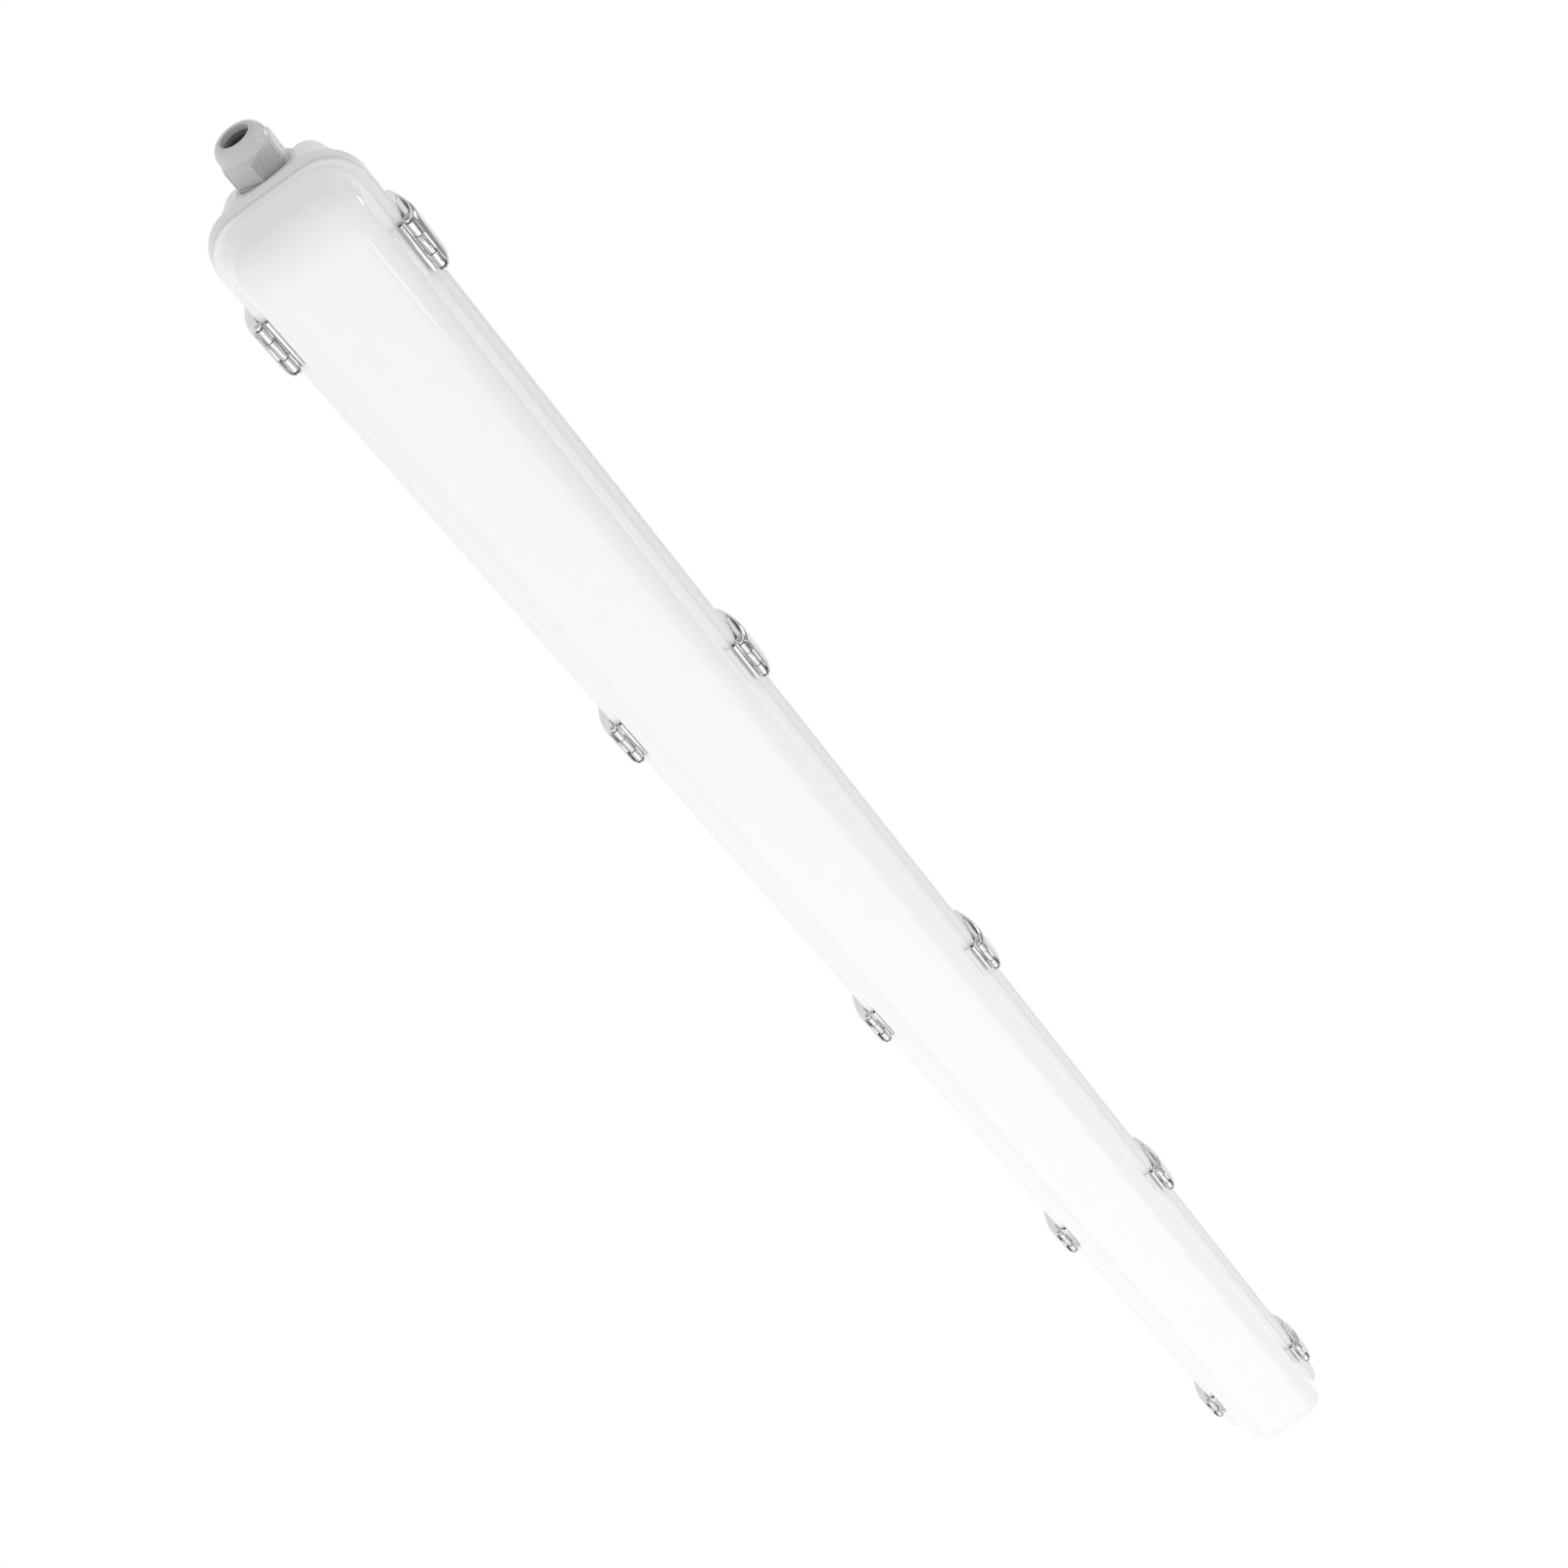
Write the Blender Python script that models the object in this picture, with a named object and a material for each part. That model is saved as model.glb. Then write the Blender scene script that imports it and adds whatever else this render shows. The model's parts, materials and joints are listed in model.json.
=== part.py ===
"""Vapor tight linear light fixture, modelled as an assembly of separate pieces.

The frame is the fixture's own: the origin is the middle of the face that lies
on the ceiling, +Z points up into the ceiling and X runs along the fixture, with
the cable gland at the -X end. Depths are measured down from the ceiling face.
"""

import math

import bmesh
import bpy
from mathutils import Matrix

# Whole fixture
RIM_LENGTH = 1.500
RIM_WIDTH = 0.0878
RIM_CORNER_RADIUS = 0.0235
FIXTURE_HEIGHT = 0.096
EDGE_FILLET = 0.0008
GAP = 0.0003
CUT_OVERRUN = 0.002
EMBED = 0.0008
WELD = 0.00001
CORNER_STEPS = 5
ROUND_STEPS = 30
SMALL_STEPS = 8
PIN_STEPS = 8
ROLL_STEPS = 12
SMOOTH_ANGLE = 35

# Housing
LIP_TOP_DEPTH = 0.0512
LIP_THICKNESS = 0.0075
LIP_OVERHANG = 0.0024
BACK_SIDE_INSET = 0.0153
BACK_END_INSET = 0.0186
BACK_CORNER_RADIUS = 0.0092
BACK_FILLET = 0.0047
BACK_FILLET_STEPS = 3
HOUSING_WALL = 0.0026
HOUSING_FLOOR = 0.0025
FLOOR_FILLET = 0.0035
RIDGE_INSET = 0.0065
RIDGE_HEIGHT = 0.0135
GROOVE_OUTER_INSET = 0.0015
GROOVE_WIDTH = 0.0028
GROOVE_DEPTH = 0.0050
GUSSET_THICKNESS = 0.0015
GUSSET_HEIGHT = 0.0072
GUSSET_INSET = 0.0003
GUSSET_ROOT = 0.0002
DIMPLE_RADIUS = 0.0045
DIMPLE_DEPTH = 0.0010
DIMPLE_SHARE = 0.2667
KNOCKOUT_RADIUS = 0.0110
KNOCKOUT_GROOVE = 0.0010
KNOCKOUT_DEPTH = 0.0010

# Posts that carry the gear tray
POST_SHARE = 0.3733
POST_SCREW_CLEARANCE = 0.0046
POST_BASE_RADIUS = 0.0055
POST_TOP_RADIUS = 0.0040
POST_BORE_DEPTH = 0.0095

# Gasket
GASKET_HEIGHT = 0.0027

# Diffuser
FLANGE_THICKNESS = 0.0030
FLANGE_INSET = 0.0006
TONGUE_OUTER_INSET = 0.0022
TONGUE_THICKNESS = 0.0014
DIFFUSER_WALL = 0.0020
CREASE_SIDE_INSET = 0.0055
CREASE_END_INSET = 0.0029
CREASE_CORNER_RADIUS = 0.0210
DOME_WALL_HEIGHT = 0.0160
DOME_DRAFT_DEGREES = 8
SHOULDER_SIDE_REACH = 0.0180
SHOULDER_END_REACH = 0.0280
SHOULDER_CORNER_DROP = 0.0110
SHOULDER_STEPS = 8
INNER_SHOULDER_STEPS = 4
CROWN_RISE = 0.0006
CROWN_FLAT_SHARE = 0.30

# Gear tray
TRAY_SHEET = 0.0010
TRAY_FACE_DEPTH = 0.0560
TRAY_SIDE_MARGIN = 0.0109
TRAY_END_MARGIN = 0.0300
TRAY_FLANGE_HEIGHT = 0.0110

# LED boards and the links between them
BOARD_COUNT = 3
BOARD_WIDTH = 0.0240
BOARD_THICKNESS = 0.0016
BOARD_END_MARGIN = 0.0100
BOARD_SPACING = 0.0050
CHIP_COUNT = 10
CHIP_LENGTH = 0.0050
CHIP_WIDTH = 0.0050
CHIP_HEIGHT = 0.0007
LINK_LENGTH = 0.0160
LINK_WIDTH = 0.0070
LINK_HEIGHT = 0.0025

# LED driver
DRIVER_LENGTH = 0.3600
DRIVER_WIDTH = 0.0420
DRIVER_HEIGHT = 0.0280
DRIVER_SHARE = -0.22
DRIVER_EDGE = 0.0015
DRIVER_SCREW_END = 0.0150
DRIVER_SCREW_CLEARANCE = 0.0026
DRIVER_BORE_DEPTH = 0.0080

# Terminal block
BLOCK_LENGTH = 0.0400
BLOCK_WIDTH = 0.0260
BLOCK_HEIGHT = 0.0180
BLOCK_SHARE = -0.43
BLOCK_EDGE = 0.0010

# Leads
LEAD_RADIUS = 0.0013
LEAD_SPACING = 0.0070
LEAD_CLEARANCE = 0.0004
LEAD_ENTRY = 0.0060
LEAD_REACH = 0.0430
LEAD_POINTS = 7
LEAD_CURVE_SHARE = 1.1

# Screws
SCREW_SHANK_RADIUS = 0.0018
SCREW_HEAD_RADIUS = 0.0034
SCREW_HEAD_HEIGHT = 0.0020
SCREW_LENGTH = 0.0090
SCREW_CLEARANCE = 0.0004
SCREW_SOCKET_RADIUS = 0.0014
SCREW_SOCKET_DEPTH = 0.0011

# Cable gland
GLAND_DEPTH = 0.0186
GLAND_SEAT_INSET = 0.0138
GLAND_POCKET_RADIUS = 0.0170
GLAND_BOSS_WALL = 0.0014
GLAND_BOSS_THICKNESS = 0.0035
GLAND_BOSS_REACH = 0.0065
GLAND_NECK_RADIUS = 0.0123
GLAND_NECK_CLEARANCE = 0.0004
GLAND_NECK_LENGTH = 0.0105
GLAND_WASHER_THICKNESS = 0.0012
GLAND_WASHER_RADIUS = 0.0154
GLAND_COLLAR_FLATS = 0.0270
GLAND_COLLAR_THICKNESS = 0.0039
GLAND_BARREL_RADIUS = 0.0115
GLAND_BARREL_LENGTH = 0.0141
GLAND_BORE_RADIUS = 0.0087
GLAND_CHAMFER = 0.0009
GLAND_TURN_DEGREES = 3
NUT_STEPS = 36
GLAND_STEPS = 24
LOCKNUT_THICKNESS = 0.0050
SEAL_BORE_RADIUS = 0.0066
SEAL_SLEEVE_LENGTH = 0.0090
SEAL_FLANGE_THICKNESS = 0.0022
SEAL_FLANGE_RADIUS = 0.0108
NUT_FLATS = 0.0286
NUT_HEX_LENGTH = 0.0118
NUT_DOME_LENGTH = 0.0082
NUT_DOME_RADIUS = 0.0146
NUT_RIM_RADIUS = 0.0095
NUT_MOUTH_RADIUS = 0.00825
NUT_DOME_STEPS = 5

# Latches, in a section across the hinge: out from the pin and up from it
LATCH_COUNT = 5
LATCH_END_MARGIN = 0.0680
PIVOT_OUTSET = 0.0011
PIVOT_DROP = 0.0020
PIN_RADIUS = 0.0010
PIN_CLEARANCE = 0.0003
PIN_PROUD = 0.0002
LATCH_SHEET = 0.0010
EDGE_CLEARANCE = 0.00035
STRIP_LENGTH = 0.0302
STRIP_WIDTH = 0.0026
STRIP_CLEARANCE = 0.0005
STRIP_ROUND = 0.0009
STRIP_SLOT_WIDTH = 0.0011
STRIP_SLOT_HEIGHT = 0.0007
LUG_RADIUS = 0.0024
LUG_INNER = 0.0063
LUG_OUTER = 0.0144
SKIRT_LENGTH = 0.0091
NOTCH_CLEARANCE = 0.0005
NOTCH_SKIRT_DROP = 0.0030
LEVER_WIDTH = 0.0334
LEVER_LENGTH = 0.0375
LEVER_STANDOFF = 0.00575
LEVER_TOP_CLEARANCE = 0.0008
LEVER_TOP_RISE = 0.0004
LEVER_EAR_RADIUS = 0.0026
LEVER_NOSE_REACH = 0.0018
LEVER_NOSE_HEIGHT = 0.0025
LEVER_CHEEK_DEPTH = 0.0042
LEVER_CHEEK_END = 0.0016
LEVER_CORNER_RADIUS = 0.0050
LEVER_PROFILE_SHARES = (
    (0.92, 0.107),
    (1.00, 0.227),
    (0.974, 0.347),
    (0.817, 0.480),
    (0.504, 0.653),
    (0.087, 0.827),
    (-0.470, 1.000),
)
KNUCKLE_RADIUS = 0.0023
KNUCKLE_HALF_WIDTH = 0.0057
TONGUE_TOP_HALF_WIDTH = 0.0034

# Sizes that follow from the ones above
HALF_LENGTH = RIM_LENGTH / 2
HALF_WIDTH = RIM_WIDTH / 2
RIM_FRONT_DEPTH = LIP_TOP_DEPTH + LIP_THICKNESS
FLANGE_BACK_DEPTH = RIM_FRONT_DEPTH + GAP
FLANGE_FRONT_DEPTH = FLANGE_BACK_DEPTH + FLANGE_THICKNESS
GROOVE_FLOOR_DEPTH = RIM_FRONT_DEPTH - GROOVE_DEPTH
GROOVE_INNER_INSET = GROOVE_OUTER_INSET + GROOVE_WIDTH
TRAY_BACK_DEPTH = TRAY_FACE_DEPTH - TRAY_SHEET
TRAY_LENGTH = RIM_LENGTH - 2 * TRAY_END_MARGIN
TRAY_WIDTH = RIM_WIDTH - 2 * TRAY_SIDE_MARGIN
BOARD_BACK_DEPTH = TRAY_FACE_DEPTH + GAP
POST_OFFSET = BOARD_WIDTH / 2 + SCREW_HEAD_RADIUS + POST_SCREW_CLEARANCE
DRIVER_SCREW_OFFSET = BOARD_WIDTH / 2 + SCREW_HEAD_RADIUS + DRIVER_SCREW_CLEARANCE
BOARD_FACE_DEPTH = BOARD_BACK_DEPTH + BOARD_THICKNESS
BOARD_SPAN = TRAY_LENGTH - 2 * BOARD_END_MARGIN - (BOARD_COUNT - 1) * BOARD_SPACING
BOARD_LENGTH = BOARD_SPAN / BOARD_COUNT
DRIVER_X = DRIVER_SHARE * RIM_LENGTH
DRIVER_MIDDLE_DEPTH = TRAY_BACK_DEPTH - GAP - DRIVER_HEIGHT / 2
BLOCK_X = BLOCK_SHARE * RIM_LENGTH
BLOCK_MIDDLE_DEPTH = TRAY_BACK_DEPTH - GAP - BLOCK_HEIGHT / 2
LEAD_HOLE_RADIUS = LEAD_RADIUS + LEAD_CLEARANCE
PIVOT_Y = HALF_WIDTH + PIVOT_OUTSET
PIVOT_DEPTH = FLANGE_FRONT_DEPTH + PIVOT_DROP
LATCH_PITCH = (RIM_LENGTH - 2 * LATCH_END_MARGIN) / (LATCH_COUNT - 1)
PIN_BORE_RADIUS = PIN_RADIUS + PIN_CLEARANCE
GLAND_SEAT_X = GLAND_SEAT_INSET - HALF_LENGTH

# Looks: base colour, roughness, metallic
LOOKS = {
    "housing_white": ((0.74, 0.74, 0.75), 0.38, 0.0),
    "diffuser_opal": ((0.88, 0.88, 0.89), 0.18, 0.0),
    "gasket_rubber": ((0.05, 0.05, 0.05), 0.75, 0.0),
    "seal_rubber": ((0.03, 0.03, 0.03), 0.70, 0.0),
    "gland_plastic": ((0.55, 0.56, 0.57), 0.32, 0.0),
    "latch_stainless": ((0.66, 0.66, 0.67), 0.18, 1.0),
    "pin_steel": ((0.52, 0.52, 0.53), 0.28, 1.0),
    "tray_white": ((0.85, 0.85, 0.86), 0.45, 0.0),
    "board_white": ((0.88, 0.88, 0.86), 0.50, 0.0),
    "driver_white": ((0.80, 0.80, 0.80), 0.45, 0.0),
    "block_plastic": ((0.72, 0.72, 0.70), 0.50, 0.0),
    "screw_zinc": ((0.60, 0.60, 0.62), 0.30, 1.0),
    "lead_brown": ((0.19, 0.07, 0.03), 0.50, 0.0),
    "lead_blue": ((0.03, 0.12, 0.42), 0.50, 0.0),
    "lead_green": ((0.10, 0.35, 0.06), 0.50, 0.0),
    "lead_red": ((0.45, 0.02, 0.02), 0.50, 0.0),
    "lead_black": ((0.02, 0.02, 0.02), 0.50, 0.0),
}


def clear_scene():
    for obj in list(bpy.data.objects):
        bpy.data.objects.remove(obj, do_unlink=True)


def look(name):
    """The Principled material of this name, made once."""
    found = bpy.data.materials.get(name)
    if found:
        return found
    colour, roughness, metallic = LOOKS[name]
    made = bpy.data.materials.new(name)
    made.use_nodes = True
    shader = made.node_tree.nodes["Principled BSDF"]
    shader.inputs["Base Color"].default_value = (*colour, 1)
    shader.inputs["Roughness"].default_value = roughness
    shader.inputs["Metallic"].default_value = metallic
    made.diffuse_color = (*colour, 1)
    return made


def object_from(name, bm, material=None):
    """A scene object that holds this bmesh, with its faces turned outward."""
    bmesh.ops.recalc_face_normals(bm, faces=bm.faces)
    mesh = bpy.data.meshes.new(name)
    bm.to_mesh(mesh)
    bm.free()
    obj = bpy.data.objects.new(name, mesh)
    bpy.context.scene.collection.objects.link(obj)
    if material:
        finish(obj, material)
    else:
        obj.hide_render = True
        obj.display_type = "WIRE"
    return obj


def finish(obj, material):
    """Gives a piece its material and smooth shading."""
    obj.data.materials.clear()
    obj.data.materials.append(look(material))
    obj.data.shade_smooth()
    obj.data.set_sharp_from_angle(angle=math.radians(SMOOTH_ANGLE))


def boolean(target, other, operation):
    """A live Boolean on the target, with the other object hidden as its cutter."""
    other.hide_render = True
    other.display_type = "WIRE"
    modifier = target.modifiers.new(other.name, "BOOLEAN")
    modifier.operation = operation
    modifier.solver = "EXACT"
    modifier.object = other


def solidify_modifiers(obj, material):
    """Turns the modifiers into plain mesh, so that copies can share it."""
    graph = bpy.context.evaluated_depsgraph_get()
    mesh = bpy.data.meshes.new_from_object(obj.evaluated_get(graph))
    helpers = [modifier.object for modifier in obj.modifiers]
    obj.modifiers.clear()
    obj.data = mesh
    for helper in helpers:
        bpy.data.objects.remove(helper, do_unlink=True)
    finish(obj, material)


def lofted(rings, closed):
    """A skin extruded from ring to ring, capped unless it closes on its first ring."""
    bm = bmesh.new()
    places = {bm.verts.new(point): i for i, point in enumerate(rings[0])}
    loop = list(places)
    edges = [bm.edges.new((vert, loop[i - 1])) for i, vert in enumerate(loop)]
    if not closed:
        bm.faces.new(loop)
    for ring in [*rings[1:], rings[0]] if closed else rings[1:]:
        made = bmesh.ops.extrude_edge_only(bm, edges=edges)["geom"]
        found = {}
        for vert in made:
            if isinstance(vert, bmesh.types.BMVert):
                near = [edge.other_vert(vert) for edge in vert.link_edges]
                found[vert] = next(places[other] for other in near if other in places)
        for vert, i in found.items():
            vert.co = ring[i]
        places = found
        edges = [
            item
            for item in made
            if isinstance(item, bmesh.types.BMEdge) and all(vert in places for vert in item.verts)
        ]
    if closed:
        bmesh.ops.remove_doubles(bm, verts=bm.verts, dist=WELD)
    else:
        bm.faces.new(sorted(places, key=places.get))
    return bm


def plan_ring(half_length, half_width, radius, depth):
    """A rounded rectangle in plan, at this depth below the ceiling."""
    points = []
    for corner in range(4):
        across = 1 if corner in (0, 3) else -1
        side = 1 if corner in (0, 1) else -1
        for step in range(CORNER_STEPS + 1):
            angle = math.radians(90 * (corner + step / CORNER_STEPS))
            x = across * (half_length - radius) + radius * math.cos(angle)
            y = side * (half_width - radius) + radius * math.sin(angle)
            points.append((x, y, -depth))
    return points


def rim_ring(inset, depth):
    """A ring parallel to the rim's outline, this far inside it."""
    return plan_ring(HALF_LENGTH - inset, HALF_WIDTH - inset, RIM_CORNER_RADIUS - inset, depth)


def extruded(outline, start, end):
    """A prism along X, from an outline of (y, z) points."""
    bm = bmesh.new()
    verts = [bm.verts.new((start, y, z)) for y, z in outline]
    face = bm.faces.new(verts)
    made = bmesh.ops.extrude_face_region(bm, geom=[face])
    moved = [item for item in made["geom"] if isinstance(item, bmesh.types.BMVert)]
    bmesh.ops.translate(bm, verts=moved, vec=(end - start, 0, 0))
    return bm


def turned(profile, steps):
    """A solid of revolution about the X axis, from a closed profile of (x, radius) points."""
    bm = bmesh.new()
    verts = [bm.verts.new((x, 0, radius)) for x, radius in profile]
    edges = [bm.edges.new((vert, verts[i - 1])) for i, vert in enumerate(verts)]
    bmesh.ops.spin(
        bm,
        geom=verts + edges,
        cent=(0, 0, 0),
        axis=(1, 0, 0),
        angle=math.tau,
        steps=steps,
        use_merge=True,
    )
    return bm


def cylinder(radius, start, end, steps, top_radius=None):
    """A cylinder or cone along Z between two heights."""
    bm = bmesh.new()
    bmesh.ops.create_cone(
        bm,
        cap_ends=True,
        segments=steps,
        radius1=radius,
        radius2=radius if top_radius is None else top_radius,
        depth=end - start,
        matrix=Matrix.Translation((0, 0, (start + end) / 2)),
    )
    return bm


def box(size_x, size_y, size_z, centre):
    bm = bmesh.new()
    bmesh.ops.create_cube(bm, size=1, matrix=Matrix.Diagonal((size_x, size_y, size_z, 1)))
    bmesh.ops.translate(bm, verts=bm.verts, vec=centre)
    return bm


def rounded_box(size_x, size_y, size_z, centre, edge):
    bm = box(size_x, size_y, size_z, centre)
    bmesh.ops.bevel(bm, geom=bm.edges[:], offset=edge, segments=1, affect="EDGES")
    return bm


def gathered(parts):
    """One bmesh that holds several apart, for a Boolean that takes them all."""
    whole = bmesh.new()
    for bm in parts:
        mesh = bpy.data.meshes.new("gathered")
        bm.to_mesh(mesh)
        bm.free()
        whole.from_mesh(mesh)
        bpy.data.meshes.remove(mesh)
    return whole


def moved(bm, x, y, z):
    bmesh.ops.translate(bm, verts=bm.verts, vec=(x, y, z))
    return bm


def wall_sizes(depth):
    """Half length, half width and corner radius of the housing's outer wall at this depth."""
    share = depth / LIP_TOP_DEPTH
    side = BACK_SIDE_INSET + (LIP_OVERHANG - BACK_SIDE_INSET) * share
    end = BACK_END_INSET + (LIP_OVERHANG - BACK_END_INSET) * share
    radius_at_lip = RIM_CORNER_RADIUS - LIP_OVERHANG
    radius = BACK_CORNER_RADIUS + (radius_at_lip - BACK_CORNER_RADIUS) * share
    return HALF_LENGTH - end, HALF_WIDTH - side, radius


def wall_ring(depth, inset=0):
    length, width, radius = wall_sizes(depth)
    return plan_ring(length - inset, width - inset, radius - inset, depth)


def fillet_sizes(first, corner, last, share):
    """A point on the curve that rounds the corner between two places."""
    return [
        a * (1 - share) ** 2 + 2 * b * share * (1 - share) + c * share**2
        for a, b, c in zip(first, corner, last)
    ]


def housing_rings():
    rings = []
    length, width, radius = wall_sizes(0)
    face = (length - BACK_FILLET, width - BACK_FILLET, radius - BACK_FILLET, 0)
    corner = (length, width, radius, 0)
    wall = (*wall_sizes(BACK_FILLET), BACK_FILLET)
    for step in range(BACK_FILLET_STEPS + 1):
        rings.append(plan_ring(*fillet_sizes(face, corner, wall, step / BACK_FILLET_STEPS)))
    rings.append(wall_ring(LIP_TOP_DEPTH - GUSSET_HEIGHT))
    rings.append(wall_ring(LIP_TOP_DEPTH))
    rings.append(rim_ring(EDGE_FILLET, LIP_TOP_DEPTH))
    soft = EDGE_FILLET * (1 - math.cos(math.radians(45)))
    rings.append(rim_ring(soft, LIP_TOP_DEPTH + soft))
    rings.append(rim_ring(0, LIP_TOP_DEPTH + EDGE_FILLET))
    rings.append(rim_ring(0, RIM_FRONT_DEPTH - EDGE_FILLET))
    rings.append(rim_ring(soft, RIM_FRONT_DEPTH - soft))
    rings.append(rim_ring(EDGE_FILLET, RIM_FRONT_DEPTH))
    rings.append(rim_ring(GROOVE_OUTER_INSET, RIM_FRONT_DEPTH))
    rings.append(rim_ring(GROOVE_OUTER_INSET, GROOVE_FLOOR_DEPTH))
    rings.append(rim_ring(GROOVE_INNER_INSET, GROOVE_FLOOR_DEPTH))
    rings.append(rim_ring(GROOVE_INNER_INSET, RIM_FRONT_DEPTH))
    rings.append(rim_ring(RIDGE_INSET, RIM_FRONT_DEPTH))
    ridge_depth = RIM_FRONT_DEPTH - RIDGE_HEIGHT
    rings.append(wall_ring(ridge_depth, HOUSING_WALL))
    wall_depth = HOUSING_FLOOR + FLOOR_FILLET
    rings.append(wall_ring(wall_depth, HOUSING_WALL))
    soft = FLOOR_FILLET * (1 - math.cos(math.radians(45)))
    rings.append(wall_ring(HOUSING_FLOOR + soft, HOUSING_WALL + soft))
    rings.append(wall_ring(HOUSING_FLOOR, HOUSING_WALL + FLOOR_FILLET))
    return rings


def latch_places():
    """Name, middle along X and side of each latch, counted from the gland end."""
    places = []
    for side, sign in (("left", 1), ("right", -1)):
        for i in range(LATCH_COUNT):
            x = -HALF_LENGTH + LATCH_END_MARGIN + i * LATCH_PITCH
            places.append((f"latch_{side}_{i + 1}", x, sign))
    return places


def gussets():
    """Thin ribs under the lip on both sides of each latch, which keep it in place."""
    root_depth = LIP_TOP_DEPTH - GUSSET_HEIGHT
    root = wall_sizes(root_depth)[1]
    tip = HALF_WIDTH - GUSSET_INSET
    outline = (
        (root - EMBED, -root_depth),
        (root + GUSSET_ROOT, -root_depth),
        (tip, -(LIP_TOP_DEPTH - EMBED)),
        (tip, -(LIP_TOP_DEPTH + EMBED)),
        (root - EMBED, -(LIP_TOP_DEPTH + EMBED)),
    )
    inner = LEVER_WIDTH / 2 + NOTCH_CLEARANCE
    outer = inner + GUSSET_THICKNESS
    ribs = []
    for _, x, sign in latch_places():
        for start, end in ((x + inner, x + outer), (x - outer, x - inner)):
            ribs.append(extruded([(sign * y, z) for y, z in outline], start, end))
    return gathered(ribs)


def post_places():
    x = POST_SHARE * RIM_LENGTH
    return [(side * x, across * POST_OFFSET) for side in (-1, 1) for across in (1, -1)]


def build_housing():
    housing = object_from("housing", lofted(housing_rings(), closed=False), "housing_white")
    boolean(housing, object_from("housing_gussets", gussets()), "UNION")

    top = -(TRAY_BACK_DEPTH - GAP)
    bottom = EMBED - HOUSING_FLOOR
    posts = []
    bores = []
    for x, y in post_places():
        post = cylinder(POST_TOP_RADIUS, top, bottom, SMALL_STEPS, POST_BASE_RADIUS)
        posts.append(moved(post, x, y, 0))
        bore_radius = SCREW_SHANK_RADIUS + SCREW_CLEARANCE
        bore = cylinder(bore_radius, top - CUT_OVERRUN, top + POST_BORE_DEPTH, SMALL_STEPS)
        bores.append(moved(bore, x, y, 0))
    boolean(housing, object_from("housing_posts", gathered(posts)), "UNION")
    boolean(housing, object_from("housing_post_bores", gathered(bores)), "DIFFERENCE")

    build_gland_seat(housing)
    build_back_details(housing)


def build_gland_seat(housing):
    """The boss, pocket and hole that the gland is clamped in, on the near end wall."""
    boss_radius = GLAND_POCKET_RADIUS + GLAND_BOSS_WALL
    back = GLAND_SEAT_X + GLAND_BOSS_THICKNESS
    boss_end = back + LOCKNUT_THICKNESS + 2 * GAP
    pad = turned_rod(boss_radius, GLAND_SEAT_X, boss_end)
    boolean(housing, object_from("gland_pad", pad), "UNION")

    shell = turned_rod(boss_radius, GLAND_SEAT_X - GLAND_BOSS_REACH, back - GAP)
    length, _, _ = wall_sizes(GLAND_DEPTH)
    slope = (BACK_END_INSET - LIP_OVERHANG) / LIP_TOP_DEPTH
    bmesh.ops.bisect_plane(
        shell,
        geom=shell.verts[:] + shell.edges[:] + shell.faces[:],
        plane_co=(GAP - length, 0, -GLAND_DEPTH),
        plane_no=(-1, 0, slope),
        clear_outer=True,
    )
    bmesh.ops.holes_fill(shell, edges=[edge for edge in shell.edges if edge.is_boundary])
    boolean(housing, object_from("gland_shell", shell), "UNION")

    mouth = -HALF_LENGTH - CUT_OVERRUN
    pocket = turned_rod(GLAND_POCKET_RADIUS, mouth, GLAND_SEAT_X)
    boolean(housing, object_from("gland_pocket", pocket), "DIFFERENCE")
    hole_radius = GLAND_NECK_RADIUS + GLAND_NECK_CLEARANCE
    hole = turned_rod(hole_radius, GLAND_SEAT_X - CUT_OVERRUN, back + CUT_OVERRUN)
    boolean(housing, object_from("gland_hole", hole), "DIFFERENCE")
    relief_radius = GLAND_COLLAR_FLATS / 2 / math.cos(math.radians(30)) + 2 * GAP
    relief = turned_rod(relief_radius, back, boss_end + CUT_OVERRUN)
    boolean(housing, object_from("locknut_relief", relief), "DIFFERENCE")


def turned_rod(radius, start, end):
    """A plain rod along the gland's axis."""
    bm = cylinder(radius, start, end, ROUND_STEPS)
    bmesh.ops.rotate(bm, verts=bm.verts, matrix=Matrix.Rotation(math.radians(90), 3, "Y"))
    return moved(bm, 0, 0, -GLAND_DEPTH)


def build_back_details(housing):
    """Screw dimples in the ceiling face and the knock-out ring in the far end wall."""
    dimples = []
    for side in (-1, 1):
        dimple = cylinder(DIMPLE_RADIUS, -DIMPLE_DEPTH, CUT_OVERRUN, SMALL_STEPS)
        dimples.append(moved(dimple, side * DIMPLE_SHARE * RIM_LENGTH, 0, 0))
    boolean(housing, object_from("screw_dimples", gathered(dimples)), "DIFFERENCE")

    inner = KNOCKOUT_RADIUS - KNOCKOUT_GROOVE
    profile = (
        (-KNOCKOUT_DEPTH, inner),
        (CUT_OVERRUN, inner),
        (CUT_OVERRUN, KNOCKOUT_RADIUS),
        (-KNOCKOUT_DEPTH, KNOCKOUT_RADIUS),
    )
    ring = turned(profile, ROUND_STEPS)
    slope = math.atan2(BACK_END_INSET - LIP_OVERHANG, LIP_TOP_DEPTH)
    bmesh.ops.rotate(ring, verts=ring.verts, matrix=Matrix.Rotation(-slope, 3, "Y"))
    length, _, _ = wall_sizes(GLAND_DEPTH)
    knockout = object_from("knockout_ring", moved(ring, length, 0, -GLAND_DEPTH))
    boolean(housing, knockout, "DIFFERENCE")


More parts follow.
